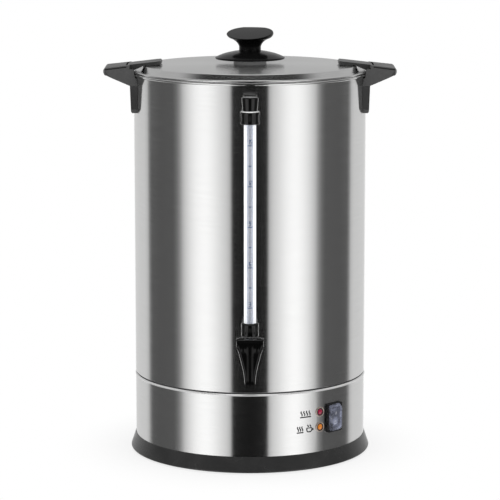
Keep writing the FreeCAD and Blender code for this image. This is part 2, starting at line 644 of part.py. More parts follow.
def make_knob():
    """Mushroom knob: waisted neck, concave underside, full rim and a slanted face."""
    hub = GUARD_HUB
    widest = RIM_HEIGHT + KNOB_HEAD_RISE
    top = widest + KNOB_CROWN
    under = widest - KNOB_HEAD_UNDER
    knob = turned([
        (0, hub), (KNOB_NECK_RADIUS, hub), (KNOB_NECK_RADIUS, hub + KNOB_NECK_STRAIGHT),
        (KNOB_HEAD_RADIUS - 6, under, KNOB_NECK_RADIUS + 3.0, under - 4.0),
        (KNOB_HEAD_RADIUS, widest, KNOB_HEAD_RADIUS - 2.1, under + 2.1),
        (KNOB_SHOULDER, top - 0.6, KNOB_HEAD_RADIUS - 1.2, widest + 4.0), (0, top)])
    above_face = box(-BIG / 2, BIG / 2, -BIG / 2, BIG / 2, 0, BIG)
    above_face.rotate(Vector(0, 0, 0), Vector(1, 0, 0), KNOB_FACE_SLANT)
    above_face.rotate(Vector(0, 0, 0), Vector(0, 1, 0), -KNOB_FACE_LEAN)
    above_face.translate(Vector(0, 0, widest + KNOB_FACE_RISE))
    bore = upright(KNOB_SCREW_RADIUS + RUNNING, hub - 1, hub + KNOB_SCREW_REACH + 1)
    return knob.cut([above_face, bore])


def make_knob_screw():
    """Screw from under the lid into the knob, with its washer as a second solid."""
    under = LID_CENTRE - SHEET
    washer = upright(KNOB_SCREW_RADIUS * 3, under - KNOB_WASHER, under - SNUG / 2)
    washer = washer.cut(upright(KNOB_SCREW_RADIUS + RUNNING, under - 5, under + 5))
    head_top = under - KNOB_WASHER
    head = upright(KNOB_SCREW_RADIUS * 1.8, head_top - 3, head_top)
    shank = upright(KNOB_SCREW_RADIUS, head_top - 1, GUARD_HUB + KNOB_SCREW_REACH)
    slot = box(-9, 9, -0.5, 0.5, head_top - 4, head_top - 1.8)
    return Part.makeCompound([washer, fused([head, shank]).cut(slot)])


# ---- handles and lid latches -------------------------------------------------------------------

def handle_top(x):
    """Height of the sloping top surface of a handle and its latch."""
    slope = (LATCH_END_RISE - HANDLE_TOP_RISE) / (HANDLE_SPLIT - LATCH_INNER)
    return RIM_HEIGHT + HANDLE_TOP_RISE - slope * (x - HANDLE_SPLIT)


def pin_place():
    """Axis of the latch pin: X and height."""
    return HANDLE_SPLIT - LATCH_KNUCKLE / 2 - 0.2, handle_top(HANDLE_SPLIT) - LATCH_KNUCKLE


def plan_prism(steps, z0, z1):
    """Vertical prism of an outline of (x, y) steps, mirrored about the XZ plane."""
    both = list(steps) + [(x, -y) for x, y in reversed(steps)]
    face = outline(both, lambda x, y: Vector(x, y, z0))
    return face.extrude(Vector(0, 0, z1 - z0))


def handle_plan(shrink, z0, z1):
    """The grip as seen from above: widest at the rim, tapering to a rounded tip."""
    end = HANDLE_REACH - shrink
    return plan_prism([
        (BODY_RADIUS - HANDLE_ROOT, HANDLE_TOP_HALF - shrink),
        (HANDLE_SPLIT, HANDLE_TOP_HALF - 2 - shrink),
        (end - 8, HANDLE_TIP_HALF + 3 - shrink), (end - 2, HANDLE_TIP_HALF - 2 - shrink),
        (end, HANDLE_TIP_HALF - 10 - shrink)], z0, z1)


def beside_grip(shrink):
    """What lies outside the sloping sides of a grip, on both sides of it."""
    half = HANDLE_CREST_HALF - shrink
    high = RIM_HEIGHT + HANDLE_TOP_RISE + 1
    drop = HANDLE_TOP_HALF
    wedge = outline([(half, high), (half + HANDLE_SIDE_SLOPE * drop, high - drop),
                     (BIG, high - drop), (BIG, BIG), (half, BIG)],
                    lambda y, z: Vector(0, y, z)).extrude(Vector(BIG, 0, 0))
    return [wedge, wedge.mirror(Vector(0, 0, 0), Vector(0, 1, 0))]


def make_handle():
    """Right handle: wedge grip, hollow below, with a leg that is round inside and flat outside."""
    tip = RIM_HEIGHT + HANDLE_TIP_RISE
    tip_x = HANDLE_REACH - HANDLE_TIP_RADIUS
    corner = RIM_HEIGHT - HANDLE_CORNER_DROP
    foot = RIM_HEIGHT - HANDLE_LEG_DROP
    leg_x = BODY_RADIUS + HANDLE_LEG_TOP_THICK
    low = corner - 5
    root = BODY_RADIUS - HANDLE_ROOT
    hollow_in = BODY_RADIUS + HANDLE_HOLLOW_OUT
    slant = across_prism([
        (root, handle_top(root)), (tip_x, handle_top(tip_x)),
        (tip_x - 1, tip - HANDLE_TIP_RADIUS, HANDLE_REACH, tip), (leg_x, corner),
        (root, corner)], 2 * HANDLE_TOP_HALF)
    grip = slant.common(handle_plan(0, low, BIG)).cut(beside_grip(0))
    hollow = across_prism([
        (hollow_in, low), (hollow_in, handle_top(hollow_in) - HANDLE_WALL - 2),
        (tip_x - HANDLE_WALL, handle_top(tip_x) - HANDLE_WALL), (tip_x - HANDLE_WALL, low)],
        2 * HANDLE_TOP_HALF)
    hollow = hollow.common(handle_plan(HANDLE_WALL, low - 1, BIG)).cut(beside_grip(HANDLE_WALL + 1))
    grip = grip.cut(hollow)
    plank = across_prism([
        (root, foot), (BODY_RADIUS + HANDLE_LEG_FOOT_THICK - 1, foot),
        (BODY_RADIUS + HANDLE_LEG_FOOT_THICK, foot + 2), (leg_x, corner - 2),
        (leg_x, RIM_HEIGHT - 2), (root, RIM_HEIGHT - 2)], 2 * HANDLE_TOP_HALF)
    leg_face = outline([
        (-HANDLE_FOOT_HALF, foot + 5), (-HANDLE_FOOT_HALF + 6, foot), (HANDLE_FOOT_HALF - 6, foot),
        (HANDLE_FOOT_HALF, foot + 5), (HANDLE_CORNER_HALF, corner),
        (HANDLE_TOP_HALF + 3, RIM_HEIGHT), (-HANDLE_TOP_HALF - 3, RIM_HEIGHT),
        (-HANDLE_CORNER_HALF, corner)], lambda y, z: Vector(BODY_RADIUS / 2, y, z))
    leg = plank.common(leg_face.extrude(Vector(BODY_RADIUS, 0, 0))).cut(beside_grip(0))
    handle = fused([grip, leg]).cut(upright(BODY_RADIUS + SNUG, 0, BIG))
    handle = handle.cut(handle_clearances())
    angles, height = handle_screw_places()
    depth = handle_screw_tip() + SNUG
    return handle.cut([radial_x(HANDLE_SCREW_RADIUS + RUNNING, WALL_INSIDE, depth, angle, height)
                       for angle in angles])


def handle_clearances():
    """What is cut from a handle: room for the rim, the lid, the latch and its pin."""
    pin_x, pin_z = pin_place()
    knuckle_room = LATCH_KNUCKLE + LATCH_ROOM
    half = LATCH_HALF + LATCH_ROOM
    rim_under = RIM_HEIGHT - RIM_BEAD - 1
    rim_room = upright(RIM_OUTER + SEAT, rim_under, BIG)
    slot = box(0, pin_x - SLOT_WALL, -half, half, rim_under, BIG)
    above = box(0, pin_x + knuckle_room, -half, half, pin_z, BIG)
    around = Part.makeCylinder(knuckle_room, 2 * half, Vector(pin_x, -half, pin_z), Vector(0, 1, 0))
    outside = box(0, pin_x - 1, -BIG, BIG, pin_z - 1.5, BIG)
    pin = Part.makeCylinder(LATCH_PIN_RADIUS + SNUG, 2 * half + 2 * PIN_GRIP,
                            Vector(pin_x, -half - PIN_GRIP, pin_z), Vector(0, 1, 0))
    return [rim_room, slot, above, around, outside, pin]


def beside_lid(z):
    """X at a height where a web's inner face clears the straight line down the lid's edge."""
    share = (LID_PLATEAU - z) / (LID_PLATEAU - LID_EDGE_TOP)
    radius = LID_PLATEAU_RADIUS + share * (LID_EDGE - LID_PLATEAU_RADIUS) + LATCH_WEB_GAP
    return math.sqrt(radius ** 2 - (LATCH_HALF - LATCH_WEB) ** 2)


def make_latch():
    """Right lid latch: hinged plate over the lid, with a pad at its end and a web on each side."""
    pin_x, pin_z = pin_place()
    half = LATCH_HALF
    pad_under = crown_height(LATCH_INNER) + LATCH_PAD_GAP
    drop = LATCH_PLATE
    plate = across_prism([
        (LATCH_INNER, pad_under + 1.5), (LATCH_INNER + 1.5, pad_under),
        (LATCH_PAD_END, pad_under), (LATCH_PAD_END + 2, handle_top(LATCH_PAD_END + 2) - drop + 1),
        (pin_x - 1, handle_top(pin_x) - drop + 1), (pin_x, handle_top(pin_x)),
        (LATCH_INNER + 1.5, handle_top(LATCH_INNER + 1.5)), (LATCH_INNER, handle_top(LATCH_INNER) - 1.5)],
        half)
    round_off = plan_prism([(LATCH_INNER, half - 7), (LATCH_INNER + 2, half - 2),
                            (LATCH_INNER + 7, half), (BODY_RADIUS + 20, half)], 0, BIG)
    knuckle = Part.makeCylinder(LATCH_KNUCKLE, 2 * half, Vector(pin_x, -half, pin_z),
                                Vector(0, 1, 0))
    web_under = LID_EDGE_TOP + SEAT
    web_top = LID_PLATEAU + LATCH_PAD_GAP
    web = across_prism([
        (beside_lid(web_top), handle_top(beside_lid(web_top)) - 2), (beside_lid(web_top), web_top),
        (beside_lid(web_under), web_under), (pin_x - LATCH_KNUCKLE, web_under),
        (pin_x, pin_z), (pin_x, handle_top(pin_x) - 2)], half)
    between = box(LATCH_PAD_END, BIG, -half + LATCH_WEB, half - LATCH_WEB, 0, BIG)
    webs = web.cut(between.cut(knuckle))
    latch = fused([plate.common(round_off), knuckle, webs])
    bore = Part.makeCylinder(LATCH_PIN_RADIUS + RUNNING, 4 * half,
                             Vector(pin_x, -2 * half, pin_z), Vector(0, 1, 0))
    return latch.cut(bore)


def make_latch_pin():
    """Pin that the latch turns on, held in the handle at both ends."""
    pin_x, pin_z = pin_place()
    half = LATCH_HALF + LATCH_ROOM + PIN_GRIP - SNUG
    return Part.makeCylinder(LATCH_PIN_RADIUS, 2 * half, Vector(pin_x, -half, pin_z),
                             Vector(0, 1, 0))


def make_handle_backing():
    """Steel strip inside the tank that the handle's screws pull against."""
    height = RIM_HEIGHT - HANDLE_SCREW_DROP
    outer = WALL_INSIDE - SEAT
    inner = outer - BACKING_THICK
    strip = turned([(inner, height - BACKING_HALF), (outer, height - BACKING_HALF),
                    (outer, height + BACKING_HALF), (inner, height + BACKING_HALF)])
    strip = strip.common(box(0, BIG, -BACKING_LENGTH / 2, BACKING_LENGTH / 2, 0, BIG))
    angles, level = handle_screw_places()
    return strip.cut([radial_x(HANDLE_SCREW_RADIUS + SNUG, BODY_RADIUS - 20, BODY_RADIUS + 5,
                               angle, level) for angle in angles])


def make_handle_screws():
    """Two screws from inside the tank, through the strip and the wall, into the leg."""
    angles, level = handle_screw_places()
    under_head = WALL_INSIDE - SEAT - BACKING_THICK - SEAT
    tip = handle_screw_tip()
    screws = []
    for angle in angles:
        head = radial_x(HANDLE_SCREW_RADIUS * 1.8, under_head - 2.2, under_head, angle, level)
        shank = radial_x(HANDLE_SCREW_RADIUS, under_head - 1, tip, angle, level)
        screws.append(fused([head, shank]))
    return Part.makeCompound(screws)


# ---- sight gauge -------------------------------------------------------------------------------

def on_gauge(radius, z0, z1):
    """Vertical cylinder on the gauge's axis."""
    return upright(radius, z0, z1, 0, -GAUGE_OFFSET)


def make_gauge_glass():
    """Glass tube from the tap's port up into the upper fitting."""
    return on_gauge(GLASS_RADIUS, GLASS_BOTTOM, GLASS_TOP).cut(
        on_gauge(GLASS_BORE, GLASS_BOTTOM - 1, GLASS_TOP + 1))


def make_gauge_guard():
    """Clear tube around the glass, held in the two nuts."""
    return on_gauge(GUARD_TUBE_RADIUS, GUARD_TUBE_BOTTOM, GUARD_TUBE_TOP).cut(
        on_gauge(GUARD_TUBE_BORE, GUARD_TUBE_BOTTOM - 1, GUARD_TUBE_TOP + 1))


def make_gauge_scale():
    """Printed strip behind the glass, with raised division marks."""
    behind = GAUGE_OFFSET - GLASS_RADIUS - SCALE_GAP
    strip = box(-SCALE_HALF, SCALE_HALF, -behind, -behind + SCALE_THICK, GUARD_TUBE_BOTTOM,
                GUARD_TUBE_TOP)
    first = GUARD_TUBE_BOTTOM + SCALE_FIRST
    count = int((GUARD_TUBE_TOP - SCALE_TOP_MARGIN - first) / (SCALE_SPACING / 2)) + 1
    marks = []
    for index in range(count):
        height = first + index * SCALE_SPACING / 2
        half = SCALE_HALF if index % 2 == 0 else SCALE_HALF / 2
        marks.append(box(-half, half, -behind - SCALE_RELIEF, -behind + SCALE_THICK / 2,
                         height - SCALE_MARK / 2, height + SCALE_MARK / 2))
    return fused([strip] + marks)


def nut_flats(radius, z0, z1, count):
    """Shallow grip flutes around a nut on the gauge's axis, as cutting tools."""
    flute = upright(1.0, z0, z1, radius + 0.5, 0)
    tools = []
    for tool in ring_of(flute, count, 0):
        tool.translate(Vector(0, -GAUGE_OFFSET, 0))
        tools.append(tool)
    return tools


def make_gauge_top_nut():
    """Collar nut that holds the guard tube and squeezes the upper seal."""
    seal_floor = TOP_NUT_BOTTOM + NUT_SOCKET + NUT_WEB
    nut = on_gauge(TOP_NUT_RADIUS, TOP_NUT_BOTTOM, TOP_NUT_TOP)
    return nut.cut([on_gauge(GUARD_TUBE_RADIUS + SNUG, TOP_NUT_BOTTOM - 1, GUARD_TUBE_TOP),
                    on_gauge(GLASS_RADIUS + SEAT, TOP_NUT_BOTTOM, TOP_NUT_TOP),
                    on_gauge(GAUGE_THREAD + SNUG, seal_floor, TOP_NUT_TOP + 1)]
                   + nut_flats(TOP_NUT_RADIUS, TOP_NUT_BOTTOM + 1.5, TOP_NUT_TOP - 2.5, 16))


def make_gauge_bottom_nut():
    """Nut on the tap's port that holds the guard tube and squeezes the lower seal."""
    bottom = BOTTOM_NUT_TOP - BOTTOM_NUT_LENGTH
    seal_top = GUARD_TUBE_BOTTOM - NUT_WEB
    nut = on_gauge(BOTTOM_NUT_RADIUS, bottom, BOTTOM_NUT_TOP)
    return nut.cut([on_gauge(GUARD_TUBE_RADIUS + SNUG, GUARD_TUBE_BOTTOM, BOTTOM_NUT_TOP + 1),
                    on_gauge(GLASS_RADIUS + SEAT, bottom, BOTTOM_NUT_TOP),
                    on_gauge(GAUGE_THREAD + SNUG, bottom - 1, seal_top)]
                   + nut_flats(BOTTOM_NUT_RADIUS, bottom + 2, BOTTOM_NUT_TOP - 2.5, 14))


def make_gauge_seals():
    """Rubber rings around the glass inside both nuts."""
    upper = TOP_NUT_BOTTOM + NUT_SOCKET + NUT_WEB
    lower = GUARD_TUBE_BOTTOM - NUT_WEB - SEAL_HEIGHT
    rings = []
    for bottom in (upper, lower):
        ring = on_gauge(GAUGE_THREAD - SNUG, bottom, bottom + SEAL_HEIGHT)
        rings.append(ring.cut(on_gauge(GLASS_RADIUS + RUNNING, bottom - 1, bottom + SEAL_HEIGHT + 1)))
    return Part.makeCompound(rings)


def make_gauge_top_fitting():
    """Cap and elbow: takes the glass from below and screws through the tank's wall."""
    neck_bottom = TOP_NUT_BOTTOM + NUT_SOCKET + NUT_WEB + SEAL_HEIGHT
    cap = Part.makeCone(TOP_CAP_FOOT, TOP_CAP_RADIUS, TOP_CAP_TOP - TOP_NUT_TOP - TOP_CAP_BAND,
                        Vector(0, -GAUGE_OFFSET, TOP_NUT_TOP + SNUG))
    crown = on_gauge(TOP_CAP_RADIUS, TOP_CAP_TOP - TOP_CAP_BAND + SNUG, TOP_CAP_TOP)
    crown = crown.makeFillet(1.5, [edge for edge in crown.Edges
                                   if edge.BoundBox.ZMin > TOP_CAP_TOP - 0.01])
    arm = forward(TOP_ARM_RADIUS, BODY_RADIUS + TOP_SEAL, GAUGE_OFFSET, TOP_PORT_HEIGHT)
    stub = forward(TOP_PORT_RADIUS, WALL_INSIDE - STUB_INSIDE, GAUGE_OFFSET, TOP_PORT_HEIGHT)
    body = fused([cap, crown, arm, stub, on_gauge(GAUGE_THREAD, neck_bottom, TOP_NUT_TOP + 1)])
    return body.cut([on_gauge(GLASS_RADIUS + SNUG, neck_bottom - 1, GLASS_TOP + 1),
                     on_gauge(GLASS_BORE, neck_bottom, TOP_PORT_HEIGHT + GLASS_BORE),
                     forward(GLASS_BORE, WALL_INSIDE - STUB_INSIDE - 1, GAUGE_OFFSET,
                             TOP_PORT_HEIGHT)])


def wall_seal(radius, bore, thickness, height):
    """Flat seal whose back follows the tank's curved wall."""
    disc = forward(radius, BODY_RADIUS - 3, BODY_RADIUS + thickness, height)
    return disc.cut([upright(BODY_RADIUS + SNUG / 2, height - BIG / 8, height + BIG / 8),
                     forward(bore + SNUG, BODY_RADIUS - 9, BODY_RADIUS + 9, height)])


def lock_nut(bore, across, thickness, height, near_wall):
    """Hexagon nut inside the tank, its front face towards the wall."""
    corners = [(across * math.cos(math.radians(60 * k)), height + across * math.sin(math.radians(60 * k)))
               for k in range(6)]
    nut = front_prism(corners, near_wall - thickness, near_wall)
    return nut.cut(forward(bore + SNUG, near_wall - thickness - 1, near_wall + 1, height))


# ---- tap ---------------------------------------------------------------------------------------

def make_tap_body():
    """Shank, valve body, gauge port and spout in one moulding."""
    flange_near = BODY_RADIUS + TAP_SEAL
    port_top = GUARD_TUBE_BOTTOM - NUT_WEB - SEAL_HEIGHT
    body = fused([
        forward(SHANK_RADIUS, WALL_INSIDE - SHANK_INSIDE, flange_near + 1, TAP_HEIGHT),
        forward(TAP_FLANGE, flange_near, flange_near + TAP_FLANGE_THICK, TAP_HEIGHT),
        forward(TAP_BODY_RADIUS, flange_near, TAP_BODY_FRONT, TAP_HEIGHT),
        on_gauge(GAUGE_THREAD, TAP_HEIGHT, port_top),
        on_gauge(GAUGE_THREAD + 1.6, TAP_HEIGHT, BOTTOM_NUT_TOP - BOTTOM_NUT_LENGTH - SEAT),
        upright(SPOUT_RADIUS, SPOUT_BOTTOM, TAP_HEIGHT, 0, -SPOUT_OFFSET)])
    return body.cut([
        forward(SHANK_BORE, WALL_INSIDE - SHANK_INSIDE - 1, SEAT_OFFSET, TAP_HEIGHT),
        forward(SEAT_BORE, SEAT_OFFSET - 1, SEAT_OFFSET + SEAT_THICK + 1, TAP_HEIGHT),
        forward(CHAMBER_RADIUS, SEAT_OFFSET + SEAT_THICK, TAP_BODY_FRONT + 1, TAP_HEIGHT),
        on_gauge(GLASS_RADIUS + SNUG, GLASS_BOTTOM, port_top + 1),
        on_gauge(GLASS_BORE, TAP_HEIGHT, GLASS_BOTTOM + 1),
        upright(SPOUT_BORE, SPOUT_BOTTOM - 1, TAP_HEIGHT, 0, -SPOUT_OFFSET)])


def make_tap_bonnet():
    """Front cover of the valve: guides the stem and carries the lever's pivot on two ears."""
    front = TAP_BODY_FRONT + BONNET_FLANGE
    ear = side_prism([
        (TAP_BODY_FRONT + 0.2, TAP_HEIGHT + 2), (front, TAP_HEIGHT + 2),
        (PIVOT_OFFSET + EAR_RADIUS, PIVOT_HEIGHT),
        (PIVOT_OFFSET - EAR_RADIUS, PIVOT_HEIGHT, PIVOT_OFFSET, PIVOT_HEIGHT + EAR_RADIUS)],
        EAR_INNER, EAR_OUTER)
    bonnet = fused([forward(TAP_BODY_RADIUS - 0.5, TAP_BODY_FRONT, front, TAP_HEIGHT),
                    forward(CHAMBER_RADIUS - SNUG, TAP_BODY_FRONT - BONNET_NECK,
                            TAP_BODY_FRONT + 1, TAP_HEIGHT),
                    ear, mirrored(ear)])
    return bonnet.cut([forward(STEM_RADIUS + RUNNING, TAP_BODY_FRONT - 9, front + 1, TAP_HEIGHT),
                       sideways(PIVOT_RADIUS + RUNNING, 20, -PIVOT_OFFSET, PIVOT_HEIGHT)])


def lever_front():
    """Front outline of the lever, as (x, z) steps: broad rounded head, tapering to its foot."""
    top = LEVER_TOP
    right = [(LEVER_HALF_TOP - 5, top), (LEVER_HALF_TOP, top - 4.5, LEVER_HALF_TOP - 1.4, top - 1.4),
             (LEVER_HALF_TOP - 0.6, top - 9), (LEVER_WAIST_HALF, LEVER_WAIST),
             (LEVER_KNEE_HALF, LEVER_KNEE), (LEVER_HALF_FOOT, LEVER_BOTTOM + 6)]
    foot = [(LEVER_HALF_FOOT - 1.2, LEVER_BOTTOM), (-LEVER_HALF_FOOT + 1.2, LEVER_BOTTOM)]
    left = [(-LEVER_HALF_FOOT, LEVER_BOTTOM + 6), (-LEVER_KNEE_HALF, LEVER_KNEE),
            (-LEVER_WAIST_HALF, LEVER_WAIST), (-LEVER_HALF_TOP + 0.6, top - 9),
            (-LEVER_HALF_TOP, top - 4.5), (-LEVER_HALF_TOP + 5, top, -LEVER_HALF_TOP + 1.4, top - 1.4)]
    return right + foot + left


def make_tap_lever():
    """Lever that hangs in front of the spout; pulling its foot forward opens the valve."""
    out = LEVER_FRONT
    thick = LEVER_SHEET
    plate = side_prism([
        (out - 3.0, LEVER_TOP), (out, LEVER_TOP - 3), (out + 1.0, LEVER_WAIST),
        (out, LEVER_KNEE), (out - LEVER_LEAN, LEVER_BOTTOM), (out - LEVER_LEAN - thick, LEVER_BOTTOM),
        (out - thick, LEVER_KNEE), (out + 1.0 - thick, LEVER_WAIST), (out - thick, LEVER_TOP - thick - 1),
        (out - HEAD_DEPTH, LEVER_TOP - thick), (out - HEAD_DEPTH, LEVER_TOP)],
        -LEVER_HALF_TOP, LEVER_HALF_TOP)
    front = front_prism(lever_front(), BODY_RADIUS, BIG)
    plate = plate.common(front)
    cheek = side_prism([
        (out - HEAD_DEPTH, LEVER_TOP), (out - 2, LEVER_TOP), (out - 1, PIVOT_HEIGHT - EAR_RADIUS - 1),
        (PIVOT_OFFSET - 1, PIVOT_HEIGHT - EAR_RADIUS), (out - HEAD_DEPTH, PIVOT_HEIGHT)],
        LEVER_HALF_TOP - CHEEK, LEVER_HALF_TOP)
    cheek = cheek.common(front)
    ridge = side_prism([
        (out + 0.2, LEVER_WAIST - 4), (out + 0.9, LEVER_KNEE), (out - LEVER_LEAN + 1.1, LEVER_BOTTOM),
        (out - LEVER_LEAN - 1, LEVER_BOTTOM), (out - 1, LEVER_KNEE)], -RIDGE_HALF, RIDGE_HALF)
    rib_top = TAP_HEIGHT + STEM_RIB_RISE
    rib = side_prism([
        (out - 1, rib_top), (STEM_PIN_OFFSET - 2.2, rib_top),
        (STEM_PIN_OFFSET - 2.2, TAP_HEIGHT - 4.6), (out - 1, TAP_HEIGHT - 8)],
        STEM_RIB_INNER, STEM_RIB_OUTER)
    lever = fused([plate, cheek, mirrored(cheek), ridge, rib, mirrored(rib)])
    room = STEM_PIN_RADIUS + STEM_PIN_ROOM
    slot = box(-9, 9, -STEM_PIN_OFFSET - room, -STEM_PIN_OFFSET + room,
               TAP_HEIGHT - STEM_PIN_RADIUS - STEM_PIN_DROP, TAP_HEIGHT + STEM_PIN_RADIUS + SEAT)
    return lever.cut([slot, sideways(PIVOT_RADIUS + RUNNING, 20, -PIVOT_OFFSET, PIVOT_HEIGHT)])


def make_lever_pin():
    """Pivot pin through the lever's cheeks and the bonnet's ears."""
    return sideways(PIVOT_RADIUS, LEVER_HALF_TOP - 0.6, -PIVOT_OFFSET, PIVOT_HEIGHT)


def make_valve_stem():
    """Rod from the valve's cup out to the lever, with a cross pin in the lever's ribs."""
    cup_far = CUP_NEAR + CUP_THICK
    stem = forward(STEM_RADIUS, cup_far - 1, STEM_PIN_OFFSET + STEM_PIN_RADIUS + 0.8, TAP_HEIGHT)
    pin = sideways(STEM_PIN_RADIUS, STEM_RIB_OUTER, -STEM_PIN_OFFSET, TAP_HEIGHT)
    collar = forward(STEM_RADIUS + 2, cup_far, SPRING_NEAR, TAP_HEIGHT)
    return fused([stem, pin, collar])


def make_valve_cup():
    """Soft cup on the stem that closes the seat."""
    near = CUP_NEAR
    cup = fused([forward(CUP_RADIUS, near, near + CUP_THICK, TAP_HEIGHT),
                 forward(SEAT_BORE - SEAT, near - 0.8, near + 0.1, TAP_HEIGHT)])
    return cup.cut(forward(STEM_RADIUS + RUNNING, near + CUP_THICK - 1 - SNUG, near + 9, TAP_HEIGHT))


def make_valve_spring():
    """Compression spring around the stem, between its collar and the bonnet."""
    near = SPRING_NEAR + SPRING_WIRE
    far = TAP_BODY_FRONT - BONNET_NECK - SPRING_WIRE
    pitch = (far - near) / SPRING_TURNS
    helix = Part.makeLongHelix(pitch, far - near, SPRING_RADIUS)
    along = Vector(0, 2 * math.pi * SPRING_RADIUS, pitch).normalize()
    ring = Part.makeCircle(SPRING_WIRE, Vector(SPRING_RADIUS, 0, 0), along)
    spring = Part.Wire(helix.Edges).makePipeShell([Part.Wire([ring])], True, True)
    spring.rotate(Vector(0, 0, 0), Vector(1, 0, 0), 90)
    spring.translate(Vector(0, -near, TAP_HEIGHT))
    return spring


# ---- controls on the skirt ---------------------------------------------------------------------

def curved_back(shape):
    """Cut a piece so that its back follows the skirt's round wall."""
    return shape.cut(upright(BODY_RADIUS + SNUG / 2, 0, BIG))


def make_lamp_body(height):
    """Pilot lamp's bezel on the skirt and its barrel through it."""
    front = LAMP_FRONT
    bezel = forward(LAMP_BEZEL_RADIUS, BODY_RADIUS - 2, front, height)
    bezel = bezel.makeFillet(0.6, [edge for edge in bezel.Edges
                                   if edge.BoundBox.YMax < -front + 0.01])
    barrel = forward(LAMP_BARREL_RADIUS, LAMP_BACK, BODY_RADIUS, height)
    body = fused([curved_back(bezel), barrel])
    pocket = forward(LAMP_LENS_RADIUS + SNUG, LAMP_BACK + 4, front + 1, height)
    tags = [box(x - 1.2, x + 1.2, -LAMP_BACK - 0.5, -LAMP_BACK + 6,
                height - 0.3, height + 0.3) for x in (-2.2, 2.2)]
    return about_z(fused([body.cut(pocket)] + tags), LAMP_ANGLE)


def make_lamp_lens(height):
    """Coloured lens: a plug in the barrel with a low domed front."""
    front = LAMP_FRONT
    plug = forward(LAMP_LENS_RADIUS, LAMP_BACK + 4 + SNUG, front - 0.4, height)
    dome_radius = (LAMP_LENS_RADIUS ** 2 + LAMP_DOME ** 2) / (2 * LAMP_DOME)
    ball = Part.makeSphere(dome_radius, Vector(0, -(front - 0.4 + LAMP_DOME - dome_radius), height))
    dome = ball.common(forward(LAMP_LENS_RADIUS, front - 0.5, front + 9, height))
    return about_z(fused([plug, dome]), LAMP_ANGLE)


def switch_box(half_wide, half_tall, near, far):
    """Box at the switch's place, still facing the tap's direction."""
    return box(-half_wide, half_wide, -far, -near, SWITCH_HEIGHT - half_tall,
               SWITCH_HEIGHT + half_tall)


def rounded_slab(half_wide, half_tall, near, far, radius):
    """Slab with rounded upright corners as seen from the front."""
    slab = switch_box(half_wide, half_tall, near, far)
    return slab.makeFillet(radius, [edge for edge in slab.Edges
                                    if abs(edge.BoundBox.YLength - (far - near)) < 0.01
                                    and edge.BoundBox.XLength < 0.01])


def make_switch_frame():
    """Switch's frame on the skirt, its body behind, and the well that the rocker sits in."""
    front = SWITCH_FRONT
    frame = curved_back(rounded_slab(SWITCH_WIDTH / 2, SWITCH_TALL / 2, BODY_RADIUS - 2, front, 2.5))
    body = switch_box(SWITCH_BODY_WIDTH / 2, SWITCH_BODY_TALL / 2, BODY_RADIUS - SWITCH_DEPTH,
                      BODY_RADIUS + 0.5)
    well = switch_box(ROCKER_HALF_WIDE + SEAT, ROCKER_HALF_TALL + ROCKER_ROOM,
                      BODY_RADIUS - ROCKER_WELL, front + 1)
    tags = [box(x - 0.4, x + 0.4, -BODY_RADIUS + SWITCH_DEPTH - 0.5, -BODY_RADIUS + SWITCH_DEPTH + 7,
                z - 3, z + 3)
            for x in (-5, 5) for z in (SWITCH_HEIGHT - 7, SWITCH_HEIGHT + 7)]
    pivot = sideways(ROCKER_PIN + RUNNING, ROCKER_HALF_WIDE + 1.5, -ROCKER_PIVOT, SWITCH_HEIGHT)
    return about_z(fused([frame, body] + tags).cut([well, pivot]), SWITCH_ANGLE)


def make_switch_rocker():
    """Rocker: shallow V front, round back, with pivot stubs; it rests tilted to OFF."""
    face = SWITCH_FRONT + ROCKER_PROUD
    tall = ROCKER_HALF_TALL
    drop = tall * math.tan(math.radians(ROCKER_SWING / 2))
    mid = SWITCH_HEIGHT
    rocker = side_prism([
        (face - drop, mid), (face, mid + tall), (face - 3.0, mid + tall),
        (ROCKER_PIVOT - ROCKER_BACK, mid + 4), (ROCKER_PIVOT - ROCKER_BACK, mid - 4),
        (face - 3.0, mid - tall), (face, mid - tall)], -ROCKER_HALF_WIDE, ROCKER_HALF_WIDE)
    rocker = fused([rocker, sideways(ROCKER_PIN, ROCKER_HALF_WIDE + 1.3, -ROCKER_PIVOT, mid)])
    rocker.rotate(Vector(0, -ROCKER_PIVOT, mid), Vector(1, 0, 0), ROCKER_SWING / 2)
    return about_z(rocker, SWITCH_ANGLE)


def make_switch_cover():
    """Clear splash cover: a soft dome over the frame."""
    near = SWITCH_FRONT
    wide = SWITCH_WIDTH / 2 - 1.0
    tall = SWITCH_TALL / 2 - 1.0
    outer = rounded_slab(wide, tall, near, near + COVER_DEPTH, 2.0)
    outer = outer.makeFillet(1.6, [edge for edge in outer.Edges
                                   if edge.BoundBox.YMax < -(near + COVER_DEPTH) + 0.01])
    inner = rounded_slab(wide - COVER_WALL, tall - COVER_WALL, near - 1,
                         near + COVER_DEPTH - COVER_WALL, 1.2)
    return about_z(outer.cut(inner), SWITCH_ANGLE)


# ---- heater and wiring space under the floor ---------------------------------------------------

def make_spreader_plate():
    """Aluminium plate against the floor's underside."""
    return upright(PLATE_RADIUS, HEATER_LEVEL, FLOOR_UNDER)


